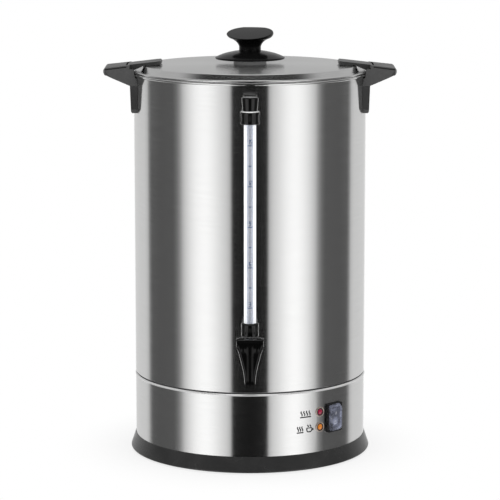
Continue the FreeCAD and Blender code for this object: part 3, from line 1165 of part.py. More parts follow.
def make_heating_element():
    """Sheathed element: an open ring under the spreader plate with two ends turned down."""
    level = HEATER_LEVEL - ELEMENT_TUBE
    sweep = 360.0 - ELEMENT_GAP
    ring = Part.makeTorus(ELEMENT_RADIUS, ELEMENT_TUBE, Vector(0, 0, level), Vector(0, 0, 1),
                          0, 360, sweep)
    ring.rotate(Vector(0, 0, 0), Vector(0, 0, 1), 90 + ELEMENT_GAP / 2)
    pieces = [ring]
    end_inset = math.degrees(0.7 * ELEMENT_TUBE / ELEMENT_RADIUS)
    for side in (-1, 1):
        angle = 90 + side * (ELEMENT_GAP / 2 + end_inset)
        stub = upright(ELEMENT_TUBE, level - ELEMENT_END, level, ELEMENT_RADIUS)
        terminal = upright(ELEMENT_TUBE / 2.5, level - ELEMENT_END - 8, level, ELEMENT_RADIUS)
        pieces += [about_z(stub, angle), about_z(terminal, angle)]
    return fused(pieces)


def make_thermostat(x, y):
    """Disc thermostat: cap against the spreader plate, moulded body and two tags."""
    top = HEATER_LEVEL
    cap = upright(STAT_RADIUS, top - 5, top, x, y)
    body = upright(STAT_RADIUS - 1.5, top - STAT_DEPTH, top - 4, x, y)
    tags = [box(x + side * 5 - 3.0, x + side * 5 + 3.0, y - 0.4, y + 0.4, top - STAT_DEPTH - 7,
                top - STAT_DEPTH + 1) for side in (-1, 1)]
    return fused([cap, body] + tags)


def make_thermal_cutout():
    """Cut-out box on the base plate, with a hole for its reset button."""
    top = PLATE_TOP + CUTOUT_TALL
    block = box(RESET_X - CUTOUT_HALF, RESET_X + CUTOUT_HALF, RESET_Y - CUTOUT_HALF + 3,
                RESET_Y + CUTOUT_HALF - 3, PLATE_TOP, top)
    tags = [box(RESET_X - CUTOUT_HALF + 2, RESET_X - CUTOUT_HALF + 8, RESET_Y + side * 6 - 0.4,
                RESET_Y + side * 6 + 0.4, top - 1, top + 8) for side in (-1, 1)]
    bore = upright(RESET_RADIUS + RUNNING, PLATE_TOP - 1, PLATE_TOP + RESET_DEPTH + RESET_TRAVEL + 0.5,
                   RESET_X, RESET_Y)
    return fused([block] + tags).cut(bore)


def make_reset_button():
    """Button in the cut-out, reached through the base plate from below."""
    return upright(RESET_RADIUS, PLATE_UNDER - 1.5, PLATE_TOP + RESET_DEPTH, RESET_X, RESET_Y)


def make_cutout_sensor():
    """Sensor bulb against the spreader plate, with its capillary down to the cut-out."""
    level = HEATER_LEVEL - BULB_RADIUS
    x, y = RESET_X + CAPILLARY_OFFSET, RESET_Y
    bulb = Part.makeCylinder(BULB_RADIUS, BULB_LENGTH, Vector(x, y, level), Vector(1, 0, 0))
    tip = Part.makeSphere(CAPILLARY_RADIUS, Vector(x, y, level))
    tube = upright(CAPILLARY_RADIUS, PLATE_TOP + CUTOUT_TALL, level, x, y)
    return fused([bulb, tip, tube])


def make_terminal_block():
    """Three-way terminal block on the base plate near the cable gland."""
    half = TERMINAL_LENGTH / 2
    top = PLATE_TOP + TERMINAL_TALL
    block = box(-half, half, TERMINAL_Y, TERMINAL_Y + TERMINAL_DEPTH, PLATE_TOP, top)
    wells = [upright(3.2, top - TERMINAL_TALL / 2, top + 1, x, TERMINAL_Y + share * TERMINAL_DEPTH)
             for x in (-half * 0.62, 0, half * 0.62) for share in (0.25, 0.75)]
    return block.cut(wells)


def make_earth_stud():
    """Welded stud under the tank's floor, with its nut as a second solid."""
    stud = upright(EARTH_RADIUS, FLOOR_UNDER - EARTH_LENGTH, FLOOR_UNDER, EARTH_CIRCLE)
    across = EARTH_RADIUS * 1.9
    corners = [(EARTH_CIRCLE + across * math.cos(math.radians(60 * k)),
                across * math.sin(math.radians(60 * k))) for k in range(6)]
    nut_bottom = FLOOR_UNDER - EARTH_LENGTH + 4
    nut = outline(corners, lambda x, y: Vector(x, y, nut_bottom)).extrude(Vector(0, 0, 4))
    nut = nut.cut(upright(EARTH_RADIUS + RUNNING, 0, BIG, EARTH_CIRCLE))
    return about_z(Part.makeCompound([stud, nut]), EARTH_ANGLE)


def make_cable_gland():
    """Gland through the rear of the skirt: flange, thread, domed cap and a bore for the cable."""
    pieces = [forward(GLAND_THREAD_RADIUS, BODY_RADIUS - GLAND_INSIDE, BODY_RADIUS + 3, GLAND_HEIGHT),
              curved_back(forward(GLAND_FLANGE, BODY_RADIUS - 3, BODY_RADIUS + 4, GLAND_HEIGHT)),
              Part.makeCone(GLAND_FLANGE - 1.5, GLAND_BORE + 2.2, GLAND_CAP,
                            Vector(0, -BODY_RADIUS - 3.9, GLAND_HEIGHT), Vector(0, -1, 0))]
    bore = forward(GLAND_BORE, BODY_RADIUS - GLAND_INSIDE - 1, BODY_RADIUS + GLAND_CAP + 9,
                   GLAND_HEIGHT)
    return about_z(fused(pieces).cut(bore), 180)


def make_gland_nut():
    """Lock nut of the cable gland, inside the skirt."""
    near = WALL_INSIDE - SHEET
    return about_z(lock_nut(GLAND_THREAD_RADIUS, GLAND_THREAD_RADIUS + 4, 5.0, GLAND_HEIGHT, near), 180)


# ---- assembly ----------------------------------------------------------------------------------

def build_all():
    """Every sub-part by its name."""
    parts = {
        "tank_wall": make_tank_wall(), "tank_floor": make_tank_floor(), "skirt": make_skirt(),
        "base_ring": make_base_ring(), "base_plate": make_base_plate(),
        "rubber_feet": make_rubber_feet(), "floor_posts": make_floor_posts(),
        "base_screws": make_base_screws(),
        "lid": make_lid(), "knob_spacer": make_knob_spacer(), "knob_guard": make_knob_guard(),
        "knob": make_knob(), "knob_screw": make_knob_screw(),
        "gauge_glass": make_gauge_glass(), "gauge_guard": make_gauge_guard(),
        "gauge_scale": make_gauge_scale(), "gauge_seals": make_gauge_seals(),
        "gauge_top_nut": make_gauge_top_nut(), "gauge_bottom_nut": make_gauge_bottom_nut(),
        "gauge_top_fitting": make_gauge_top_fitting(),
        "gauge_wall_seal": wall_seal(TOP_ARM_RADIUS, TOP_PORT_RADIUS, TOP_SEAL, TOP_PORT_HEIGHT),
        "gauge_lock_nut": lock_nut(TOP_PORT_RADIUS, TOP_PORT_RADIUS + 3.5, 4.0, TOP_PORT_HEIGHT,
                                   WALL_INSIDE - SHEET),
        "tap_body": make_tap_body(), "tap_bonnet": make_tap_bonnet(), "tap_lever": make_tap_lever(),
        "lever_pin": make_lever_pin(), "valve_stem": make_valve_stem(), "valve_cup": make_valve_cup(),
        "valve_spring": make_valve_spring(),
        "tap_wall_seal": wall_seal(TAP_FLANGE - 1, SHANK_RADIUS, TAP_SEAL, TAP_HEIGHT),
        "tap_lock_nut": lock_nut(SHANK_RADIUS, SHANK_RADIUS + 5, 7.0, TAP_HEIGHT, WALL_INSIDE - SHEET),
        "switch_frame": make_switch_frame(), "switch_rocker": make_switch_rocker(),
        "switch_cover": make_switch_cover(),
        "spreader_plate": make_spreader_plate(), "heating_element": make_heating_element(),
        "boil_thermostat": make_thermostat(*BOIL_STAT_PLACE),
        "keep_warm_thermostat": make_thermostat(*WARM_STAT_PLACE),
        "thermal_cutout": make_thermal_cutout(), "reset_button": make_reset_button(),
        "cutout_sensor": make_cutout_sensor(), "terminal_block": make_terminal_block(),
        "earth_stud": make_earth_stud(), "cable_gland": make_cable_gland(),
        "gland_nut": make_gland_nut(),
    }
    for colour, rise in LAMP_RISES.items():
        parts[colour + "_lamp_body"] = make_lamp_body(SWITCH_HEIGHT + rise)
        parts[colour + "_lamp_lens"] = make_lamp_lens(SWITCH_HEIGHT + rise)
    pairs = {"handle": make_handle(), "lid_latch": make_latch(), "latch_pin": make_latch_pin(),
             "handle_backing": make_handle_backing(), "handle_screws": make_handle_screws()}
    for name, shape in pairs.items():
        parts[name + "_right"] = shape
        parts[name + "_left"] = mirrored(shape)
    return parts


def main():
    """Build and write every sub-part."""
    os.makedirs("parts", exist_ok=True)
    for name, shape in build_all().items():
        save(name, shape)


main()
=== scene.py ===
"""Looks of a hot water urn: brushed steel tank, black plastic fittings, sight gauge and controls.

The finished meshes are in metres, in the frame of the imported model: the origin is on the tank's axis
at floor level, +Z is up, and the tap points along -Y. The urn's own sizes are written in millimetres
and degrees, and the studio's in metres and degrees.
"""

import json
import logging
import math
from dataclasses import dataclass
from enum import Enum
from typing import Callable, Iterable, Sequence

import bmesh
import bpy
import numpy as np
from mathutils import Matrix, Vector


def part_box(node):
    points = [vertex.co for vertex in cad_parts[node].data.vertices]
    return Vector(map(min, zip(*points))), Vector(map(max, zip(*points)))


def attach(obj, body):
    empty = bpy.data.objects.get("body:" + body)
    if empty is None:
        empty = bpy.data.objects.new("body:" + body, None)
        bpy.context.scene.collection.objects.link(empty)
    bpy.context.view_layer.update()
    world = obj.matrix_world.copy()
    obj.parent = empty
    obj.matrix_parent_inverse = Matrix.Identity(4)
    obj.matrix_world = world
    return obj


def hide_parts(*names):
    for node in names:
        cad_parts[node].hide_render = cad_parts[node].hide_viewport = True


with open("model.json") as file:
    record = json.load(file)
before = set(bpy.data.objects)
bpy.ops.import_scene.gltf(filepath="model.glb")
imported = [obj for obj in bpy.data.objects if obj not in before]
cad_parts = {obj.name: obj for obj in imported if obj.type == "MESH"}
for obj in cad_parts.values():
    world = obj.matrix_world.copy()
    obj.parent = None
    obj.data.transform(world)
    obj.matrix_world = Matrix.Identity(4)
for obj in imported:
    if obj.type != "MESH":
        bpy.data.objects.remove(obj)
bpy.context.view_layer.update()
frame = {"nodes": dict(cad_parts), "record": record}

logging.basicConfig(level=logging.INFO, format="%(message)s")
LOG = logging.getLogger("urn")

Point = tuple[float, float, float]
Colour = tuple[float, float, float]

MM = 0.001


def corners(node: str) -> tuple[Point, Point]:
    """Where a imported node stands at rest.

    Args:
        node: the node's name.

    Returns:
        Its lowest and highest corner in millimetres, to three decimals.
    """
    low, high = ([round(value / MM, 3) for value in corner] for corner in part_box(node))
    return tuple(low), tuple(high)


SKIRT_RADIUS, _, SKIRT_TOP = corners("skirt")[1]
(_, GUARD_FRONT, GUARD_FOOT), (_, GUARD_BACK, GUARD_TOP) = corners("gauge_guard")


# ---- node trees ----------------------------------------------------------------------------------

class Nodes:
    """A short way to add and link nodes in one node tree."""

    def __init__(self, tree: bpy.types.NodeTree) -> None:
        """Wrap a tree.

        Args:
            tree: the node tree to work in.
        """
        self.tree = tree

    def add(self, kind: str, **settings: object) -> bpy.types.Node:
        """Add a node.

        Args:
            kind: the node's class name without the ShaderNode prefix.
            **settings: properties of the node, by name.

        Returns:
            The new node.
        """
        node = self.tree.nodes.new("ShaderNode" + kind)
        for name, value in settings.items():
            setattr(node, name, value)
        return node

    def link(self, source: bpy.types.NodeSocket, target: bpy.types.NodeSocket) -> None:
        """Link two sockets."""
        self.tree.links.new(source, target)

    def feed(self, target: bpy.types.NodeSocket, value: object) -> None:
        """Link a socket, or set a constant on it.

        Args:
            target: the input socket.
            value: a socket to link from, or a constant.
        """
        if isinstance(value, bpy.types.NodeSocket):
            self.link(value, target)
        else:
            target.default_value = value

    def math(self, operation: str, first: object, second: object = 0.0,
             clamp: bool = False) -> bpy.types.NodeSocket:
        """Add a Math node.

        Args:
            operation: the Math node's operation.
            first: a socket or a number.
            second: a socket or a number.
            clamp: whether the result is kept between 0 and 1.

        Returns:
            The result's socket.
        """
        node = self.add("Math", operation=operation, use_clamp=clamp)
        self.feed(node.inputs[0], first)
        self.feed(node.inputs[1], second)
        return node.outputs[0]

    def spread(self, value: object, start: float, end: float, low_value: float,
               high_value: float) -> bpy.types.NodeSocket:
        """Map a range onto another, smoothly and clamped.

        Args:
            value: the socket to map.
            start: value that gives low_value.
            end: value that gives high_value.
            low_value: result at the start.
            high_value: result at the end.

        Returns:
            The mapped value's socket.
        """
        node = self.add("MapRange", interpolation_type="SMOOTHSTEP")
        for index, number in enumerate((value, start, end, low_value, high_value)):
            self.feed(node.inputs[index], number)
        return node.outputs[0]

    def mix(self, factor: object, first: object, second: object) -> bpy.types.NodeSocket:
        """Mix two colours.

        Args:
            factor: share of the second colour.
            first: colour or socket.
            second: colour or socket.

        Returns:
            The mixed colour's socket.
        """
        node = self.add("Mix", data_type="RGBA")
        self.feed(node.inputs[0], factor)
        self.feed(node.inputs[6], rgba(first))
        self.feed(node.inputs[7], rgba(second))
        return node.outputs[2]

    def noise(self, place: bpy.types.NodeSocket, **settings: object) -> bpy.types.NodeSocket:
        """Add a Noise Texture node.

        Args:
            place: the coordinates that it reads.
            **settings: its other inputs, by name, as constants or sockets.

        Returns:
            The noise's socket.
        """
        node = self.add("TexNoise")
        self.link(place, node.inputs["Vector"])
        for name, value in settings.items():
            self.feed(node.inputs[name], value)
        return node.outputs[0]

    def bump(self, height: bpy.types.NodeSocket, strength: bpy.types.NodeSocket,
             distance: float) -> bpy.types.NodeSocket:
        """Add a Bump node.

        Args:
            height: the relief, from 0 to 1.
            strength: how much of it shows.
            distance: the relief's full height in metres.

        Returns:
            The bumped normal's socket.
        """
        node = self.add("Bump")
        node.inputs["Distance"].default_value = distance
        self.link(strength, node.inputs["Strength"])
        self.link(height, node.inputs["Height"])
        return node.outputs[0]


def rgba(colour: object) -> object:
    """A colour with its alpha, or the socket as it is."""
    if isinstance(colour, bpy.types.NodeSocket):
        return colour
    return (*colour, 1.0)


def grey(value: float) -> Colour:
    """A neutral colour."""
    return (value, value, value)


# ---- effects that several finishes share ---------------------------------------------------------

class Effects:
    """Shader node groups that more than one finish uses, each built once."""

    built: dict[str, bpy.types.NodeTree] = {}

    @classmethod
    def group(cls, name: str, inputs: Sequence[tuple[str, str, object]],
              outputs: Sequence[tuple[str, str]],
              wire: Callable[[Nodes, bpy.types.Node, bpy.types.Node], None]) -> bpy.types.NodeTree:
        """Build a node group, or return the one already built.

        Args:
            name: the group's name.
            inputs: name, socket type and default of each input.
            outputs: name and socket type of each output.
            wire: adds and links what lies between the group's input and output nodes.

        Returns:
            The group's node tree.
        """
        if name not in cls.built:
            tree = bpy.data.node_groups.new(name, "ShaderNodeTree")
            for label, kind, default in inputs:
                socket = tree.interface.new_socket(name=label, in_out="INPUT", socket_type=kind)
                if kind == "NodeSocketFloat":
                    socket.default_value = default
            for label, kind in outputs:
                tree.interface.new_socket(name=label, in_out="OUTPUT", socket_type=kind)
            wire(Nodes(tree), tree.nodes.new("NodeGroupInput"), tree.nodes.new("NodeGroupOutput"))
            cls.built[name] = tree
        return cls.built[name]

    @classmethod
    def turned_lines(cls) -> bpy.types.NodeTree:
        """Fine scratches that run round the object's axis.

        The noise is read at (x, y, height less radius): slow in x and y and fast in the third, so the
        lines stay on circles, on a wall and on a disc alike, with no seam.

        Returns:
            A group with the outputs Lines, Cloud and Normal.
        """
        def wire(nodes: Nodes, given: bpy.types.Node, result: bpy.types.Node) -> None:
            """Two layers of turned noise make the lines; a third, broad noise makes the cloud.

            Args:
                nodes: the group's nodes.
                given: the group's input node.
                result: the group's output node.
            """
            parts = nodes.add("SeparateXYZ")
            nodes.link(given.outputs["Vector"], parts.inputs[0])
            x, y, z = parts.outputs
            radius = nodes.math("SQRT", nodes.math("ADD", nodes.math("MULTIPLY", x, x),
                                                   nodes.math("MULTIPLY", y, y)))
            across = nodes.math("SUBTRACT", z, radius)
            layers = []
            for share, seed in ((1.0, 0.0), (0.31, 7.0)):
                place = nodes.add("CombineXYZ")
                nodes.feed(place.inputs[0], nodes.math("MULTIPLY", x, given.outputs["Along"]))
                nodes.feed(place.inputs[1], nodes.math("MULTIPLY", y, given.outputs["Along"]))
                fast = nodes.math("MULTIPLY", across, given.outputs["Across"])
                nodes.feed(place.inputs[2], nodes.math("ADD", nodes.math("MULTIPLY", fast, share), seed))
                layers.append(nodes.noise(place.outputs[0], Scale=1.0, Detail=3.0, Roughness=0.6))
            lines = nodes.math("ADD", nodes.math("MULTIPLY", layers[0], 0.6),
                               nodes.math("MULTIPLY", layers[1], 0.4))
            nodes.link(lines, result.inputs["Lines"])
            nodes.link(nodes.noise(given.outputs["Vector"], Scale=14.0, Detail=4.0), result.inputs["Cloud"])
            nodes.link(nodes.bump(lines, given.outputs["Height"], 0.00002), result.inputs["Normal"])

        return cls.group("turned_lines",
                         [("Vector", "NodeSocketVector", None), ("Along", "NodeSocketFloat", 30.0),
                          ("Across", "NodeSocketFloat", 1800.0), ("Height", "NodeSocketFloat", 0.5)],
                         [("Lines", "NodeSocketFloat"), ("Cloud", "NodeSocketFloat"),
                          ("Normal", "NodeSocketVector")], wire)

    @classmethod
    def moulded_grain(cls) -> bpy.types.NodeTree:
        """The fine spark grain of a mould, and the broad dull and shiny patches of handled plastic.

        Returns:
            A group with the outputs Grain, Patch and Normal.
        """
        def wire(nodes: Nodes, given: bpy.types.Node, result: bpy.types.Node) -> None:
            """A fine noise makes the grain, and a broad one the patches.

            Args:
                nodes: the group's nodes.
                given: the group's input node.
                result: the group's output node.
            """
            grain = nodes.noise(given.outputs["Vector"], Scale=given.outputs["Scale"], Detail=2.0)
            broad = nodes.math("MULTIPLY", given.outputs["Scale"], 0.02)
            patch = nodes.noise(given.outputs["Vector"], Scale=broad, Detail=5.0, Distortion=0.6)
            nodes.link(grain, result.inputs["Grain"])
            nodes.link(nodes.spread(patch, 0.38, 0.66, 0.0, 1.0), result.inputs["Patch"])
            nodes.link(nodes.bump(grain, given.outputs["Height"], 0.00004), result.inputs["Normal"])

        return cls.group("moulded_grain",
                         [("Vector", "NodeSocketVector", None), ("Scale", "NodeSocketFloat", 1500.0),
                          ("Height", "NodeSocketFloat", 0.4)],
                         [("Grain", "NodeSocketFloat"), ("Patch", "NodeSocketFloat"),
                          ("Normal", "NodeSocketVector")], wire)

    @classmethod
    def fine_dust(cls) -> bpy.types.NodeTree:
        """A thin uneven film of dust: a mask that is high on faces that look up and broken by noise.

        Returns:
            A group with the output Mask.
        """
        def wire(nodes: Nodes, given: bpy.types.Node, result: bpy.types.Node) -> None:
            """How far a face looks up, times a broken noise, times the amount.

            Args:
                nodes: the group's nodes.
                given: the group's input node.
                result: the group's output node.
            """
            shape = nodes.add("NewGeometry")
            parts = nodes.add("SeparateXYZ")
            own = nodes.add("VectorTransform", vector_type="NORMAL", convert_from="WORLD",
                            convert_to="OBJECT")
            nodes.link(shape.outputs["Normal"], own.inputs[0])
            nodes.link(own.outputs[0], parts.inputs[0])
            upward = nodes.spread(parts.outputs[2], 0.2, 1.0, 0.0, 1.0)
            speck = nodes.noise(given.outputs["Vector"], Scale=260.0, Detail=6.0)
            broken = nodes.spread(speck, 0.42, 0.7, 0.15, 1.0)
            amount = nodes.math("MULTIPLY", nodes.math("MULTIPLY", upward, broken),
                                given.outputs["Amount"], clamp=True)
            nodes.link(amount, result.inputs["Mask"])

        return cls.group("fine_dust", [("Vector", "NodeSocketVector", None),
                                       ("Amount", "NodeSocketFloat", 0.3)],
                         [("Mask", "NodeSocketFloat")], wire)


# ---- finishes ------------------------------------------------------------------------------------

@dataclass(frozen=True)
class Finish:
    """What every finish has: its name and the constants on the shader's own sockets."""

    name: str
    colour: Colour = (0.5, 0.5, 0.5)
    roughness: float = 0.4

    def start(self) -> tuple[bpy.types.Material, Nodes, bpy.types.Node, bpy.types.NodeSocket]:
        """Begin the material.

        Returns:
            The material, its nodes, the shader node and the Object coordinates.
        """
        material = bpy.data.materials.new(self.name)
        material.use_nodes = True
        nodes = Nodes(material.node_tree)
        shader = next(n for n in material.node_tree.nodes if n.type == "BSDF_PRINCIPLED")
        shader.inputs["Roughness"].default_value = self.roughness
        shader.inputs["Base Color"].default_value = (*self.colour, 1.0)
        place = nodes.add("TexCoord").outputs["Object"]
        return material, nodes, shader, place

    def effect(self, nodes: Nodes, tree: bpy.types.NodeTree, place: bpy.types.NodeSocket,
               **values: float) -> bpy.types.Node:
        """Place a shared effect in the material.

        Args:
            nodes: the material's nodes.
            tree: the effect's group.
            place: coordinates that the effect reads.
            **values: the effect's inputs, by name.

        Returns:
            The group's node.
        """
        node = nodes.add("Group", node_tree=tree)
        nodes.link(place, node.inputs["Vector"])
        for name, value in values.items():
            node.inputs[name].default_value = value
        return node

    def build(self) -> bpy.types.Material:
        """Make the material; each kind of finish says how."""
        raise NotImplementedError


@dataclass(frozen=True)
class BrushedSteel(Finish):
    """Stainless steel sheet brushed round the axis."""

    anisotropy: float = 0.85
    along: float = 30.0
    across: float = 1800.0
    height: float = 0.5
    tone: float = 0.05

    def build(self) -> bpy.types.Material:
        """Steel whose shine runs out along its height, with scratches that follow the brushing.

        Returns:
            The material.
        """
        material, nodes, shader, place = self.start()
        shader.inputs["Metallic"].default_value = 1.0
        shader.inputs["Anisotropic"].default_value = self.anisotropy
        shader.inputs["Anisotropic Rotation"].default_value = 0.25
        tangent = nodes.add("Tangent", direction_type="RADIAL", axis="Z")
        nodes.link(tangent.outputs[0], shader.inputs["Tangent"])
        lines = self.effect(nodes, Effects.turned_lines(), place, Along=self.along, Across=self.across,
                            Height=self.height)
        light = tuple(min(1.0, c * (1 + self.tone)) for c in self.colour)
        dark = tuple(c * (1 - self.tone) for c in self.colour)
        streak = nodes.spread(lines.outputs["Lines"], 0.3, 0.7, 0.0, 1.0)
        nodes.link(nodes.mix(streak, dark, light), shader.inputs["Base Color"])
        shift = nodes.math("ADD", nodes.math("MULTIPLY", streak, 0.035),
                           nodes.math("MULTIPLY", lines.outputs["Cloud"], 0.03))
        nodes.feed(shader.inputs["Roughness"], nodes.math("ADD", shift, self.roughness - 0.033))
        nodes.link(lines.outputs["Normal"], shader.inputs["Normal"])
        return material


@dataclass(frozen=True)
class MouldedPlastic(Finish):
    """Moulded plastic: a fine grain, shinier where it is handled, a little dust on what looks up, and where
    asked a painted highlight on edges and a painted glow.
    """

    grain: float = 1500.0
    height: float = 0.35
    shine: float = 0.5
    dust: float = 0.12
    coat: float = 0.0
    # rim: share of a painted highlight, the colour turned pale where the surface is seen edge on
    rim: float = 0.0
    # glow: painted light, the plastic emits its own colour though it is no lamp
    glow: float = 0.0

    def build(self) -> bpy.types.Material:
        """Plastic whose roughness and tone wander, with the mould's grain as a bump, a painted highlight that
        turns edges seen edge on pale, and a painted glow.

        Returns:
            The material.
        """
        material, nodes, shader, place = self.start()
        shader.inputs["Specular IOR Level"].default_value = self.shine
        shader.inputs["Coat Weight"].default_value = self.coat
        shader.inputs["Coat Roughness"].default_value = 0.12
        # Painted glow: emission in the plastic's own colour, so it looks lit where little light falls.
        shader.inputs["Emission Color"].default_value = (*self.colour, 1.0)
        shader.inputs["Emission Strength"].default_value = self.glow
        grain = self.effect(nodes, Effects.moulded_grain(), place, Scale=self.grain, Height=self.height)
        film = self.effect(nodes, Effects.fine_dust(), place, Amount=self.dust)
        deep = tuple(c * 0.86 for c in self.colour)
        body = nodes.mix(grain.outputs["Patch"], deep, self.colour)
        dusty = tuple(min(1.0, c * 0.6 + 0.16) for c in self.colour)
        tone = nodes.mix(film.outputs["Mask"], body, dusty)
        # Painted highlight: where the surface is seen edge on, the colour is mixed towards pale grey.
        if self.rim:
            facing = nodes.add("LayerWeight")
            facing.inputs["Blend"].default_value = 0.5
            edge = nodes.spread(facing.outputs["Facing"], 0.72, 0.95, 0.0, self.rim)
            tone = nodes.mix(edge, tone, grey(0.85))
        nodes.link(tone, shader.inputs["Base Color"])
        rough = nodes.math("ADD", nodes.math("MULTIPLY", grain.outputs["Patch"], 0.09),
                           self.roughness - 0.045)
        nodes.feed(shader.inputs["Roughness"],
                   nodes.math("ADD", rough, nodes.math("MULTIPLY", film.outputs["Mask"], 0.3), clamp=True))
        nodes.link(grain.outputs["Normal"], shader.inputs["Normal"])
        return material


@dataclass(frozen=True)
class ClearFilm(Finish):
    """Thin clear plastic or tube glass, seen through without bending what is behind."""

    alpha: float = 0.15
    edge: float = 0.55
    cloud: float = 0.0

    def build(self) -> bpy.types.Material:
        """A glossy shader that lets most light through, and less where it is seen edge on.

        Returns:
            The material.
        """
        material, nodes, shader, place = self.start()
        shader.inputs["Coat Weight"].default_value = 1.0
        shader.inputs["Coat Roughness"].default_value = 0.03
        facing = nodes.add("LayerWeight")
        facing.inputs["Blend"].default_value = 0.35
        rim = nodes.math("MULTIPLY", facing.outputs["Facing"], self.edge - self.alpha)
        if self.cloud:
            haze = self.effect(nodes, Effects.moulded_grain(), place, Scale=90.0, Height=0.0)
            shift = nodes.spread(haze.outputs["Grain"], 0.4, 0.62, -self.cloud, self.cloud)
            rim = nodes.math("ADD", rim, shift)
        rays = nodes.add("LightPath")
        lets_by = nodes.math("MAXIMUM", rays.outputs["Is Shadow Ray"], rays.outputs["Is Diffuse Ray"])
        kept = nodes.math("SUBTRACT", 1.0, lets_by)
        nodes.feed(shader.inputs["Alpha"],
                   nodes.math("MULTIPLY", nodes.math("ADD", rim, self.alpha, clamp=True), kept))
        grain = self.effect(nodes, Effects.moulded_grain(), place, Scale=900.0, Height=0.02)
        nodes.feed(shader.inputs["Roughness"],
                   nodes.math("ADD", nodes.math("MULTIPLY", grain.outputs["Patch"], 0.03), self.roughness))
        return material


@dataclass(frozen=True)
class RawMetal(Finish):
    """Bare metal as it comes from the press, the foundry or the bar."""

    metallic: float = 1.0
    grain: float = 700.0
    height: float = 0.5
    stain: Colour = (0.4, 0.38, 0.35)
    stained: float = 0.25

    def build(self) -> bpy.types.Material:
        """Metal with a grain and uneven stains.

        Returns:
            The material.
        """
        material, nodes, shader, place = self.start()
        shader.inputs["Metallic"].default_value = self.metallic
        grain = self.effect(nodes, Effects.moulded_grain(), place, Scale=self.grain, Height=self.height)
        share = nodes.math("MULTIPLY", grain.outputs["Patch"], self.stained)
        nodes.link(nodes.mix(share, self.colour, self.stain), shader.inputs["Base Color"])
        rough = nodes.math("MULTIPLY", grain.outputs["Grain"], 0.2)
        nodes.feed(shader.inputs["Roughness"], nodes.math("ADD", rough, self.roughness - 0.1))
        nodes.link(grain.outputs["Normal"], shader.inputs["Normal"])
        return material


FINISHES: dict[str, Finish] = {finish.name: finish for finish in (
    BrushedSteel("brushed_steel", (0.88, 0.88, 0.875), 0.165, anisotropy=1.0, tone=0.035, height=0.35),
    BrushedSteel("lid_steel", (0.87, 0.87, 0.865), 0.22, anisotropy=0.6, across=1300.0, height=0.15,
                 tone=0.03),
    BrushedSteel("plain_steel", (0.74, 0.74, 0.73), 0.36, anisotropy=0.3, across=900.0),
    RawMetal("screw_steel", (0.72, 0.72, 0.71), 0.3, grain=2600.0, height=0.2),
    MouldedPlastic("base_plastic", (0.032, 0.032, 0.032), 0.24, height=0.2, dust=0.04),
    MouldedPlastic("handle_plastic", (0.052, 0.052, 0.052), 0.34, height=0.2, shine=0.42, dust=0.12),
    MouldedPlastic("knob_plastic", (0.005, 0.005, 0.005), 0.16, height=0.1, shine=0.22, dust=0.0),
    # The spacer's painted glow lifts it out of the guard's shade.
    MouldedPlastic("spacer_plastic", (0.36, 0.36, 0.36), 0.45, shine=0.3, glow=0.12),
    # The tap and fitting plastics take a painted highlight on their edges (rim).
    MouldedPlastic("tap_plastic", (0.003, 0.003, 0.003), 0.14, height=0.08, shine=0.34, dust=0.0,
                   rim=0.45),
    MouldedPlastic("fitting_plastic", (0.003, 0.003, 0.003), 0.1, height=0.06, shine=0.45, dust=0.0,
                   rim=0.55),
    ClearFilm("gauge_glass", (0.55, 0.62, 0.80), 0.03, alpha=0.05, edge=0.5),
    ClearFilm("gauge_guard", (1.0, 1.0, 1.0), 0.04, alpha=0.03, edge=0.25),
    # The white back and the scale strip get a painted glow that keeps them white inside the guard.
    MouldedPlastic("opal_back", (0.97, 0.98, 1.0), 0.3, height=0.05, dust=0.0, glow=0.5),
    MouldedPlastic("scale_strip", (0.82, 0.86, 0.93), 0.35, dust=0.0, glow=0.3),
    MouldedPlastic("rubber", (0.03, 0.03, 0.031), 0.72, grain=900.0, height=0.5, shine=0.3),
    RawMetal("lamp_bezel", (0.66, 0.55, 0.48), 0.25, metallic=0.75, grain=3000.0, height=0.1,
             stained=0.1),
    MouldedPlastic("red_lens", (0.36, 0.01, 0.05), 0.1, height=0.1, dust=0.0, coat=1.0),
    MouldedPlastic("amber_lens", (0.78, 0.24, 0.02), 0.1, height=0.1, dust=0.0, coat=1.0),
    MouldedPlastic("switch_black", (0.012, 0.012, 0.013), 0.3),
    ClearFilm("clear_cover", (0.42, 0.45, 0.60), 0.07, alpha=0.16, edge=0.5, cloud=0.12),
    RawMetal("aluminium", (0.78, 0.79, 0.8), 0.42, grain=500.0, height=0.6),
    RawMetal("element_sheath", (0.42, 0.41, 0.4), 0.45, grain=900.0, stained=0.5),
    MouldedPlastic("phenolic", (0.035, 0.022, 0.016), 0.4),
    MouldedPlastic("terminal_plastic", (0.72, 0.71, 0.66), 0.45),
    MouldedPlastic("gland_plastic", (0.02, 0.02, 0.021), 0.4),
    MouldedPlastic("reset_red", (0.5, 0.02, 0.018), 0.3),
    RawMetal("rolled_edge", (0.9, 0.9, 0.9), 0.2, metallic=0.55, grain=3000.0, height=0.1, stained=0.05),
    RawMetal("weld_steel", (0.62, 0.6, 0.57), 0.35, grain=1200.0, height=0.6, stained=0.5),
    MouldedPlastic("scale_blue", (0.01, 0.13, 0.46), 0.35, dust=0.0),
    # Grey of the painted shade and reflection lines on the gauge's strip.
    MouldedPlastic("painted_shade_grey", (0.16, 0.19, 0.28), 0.35, dust=0.0),
    MouldedPlastic("mark_white", (0.75, 0.75, 0.74), 0.4, dust=0.0),
    MouldedPlastic("print_black", (0.02, 0.02, 0.022), 0.5, dust=0.0),
)}


# ---- shapes --------------------------------------------------------------------------------------

@dataclass
class Shell:
    """Points and four-sided faces of one closed surface, in millimetres, and the finish it takes."""

    points: np.ndarray
    faces: np.ndarray
    finish: int = 0


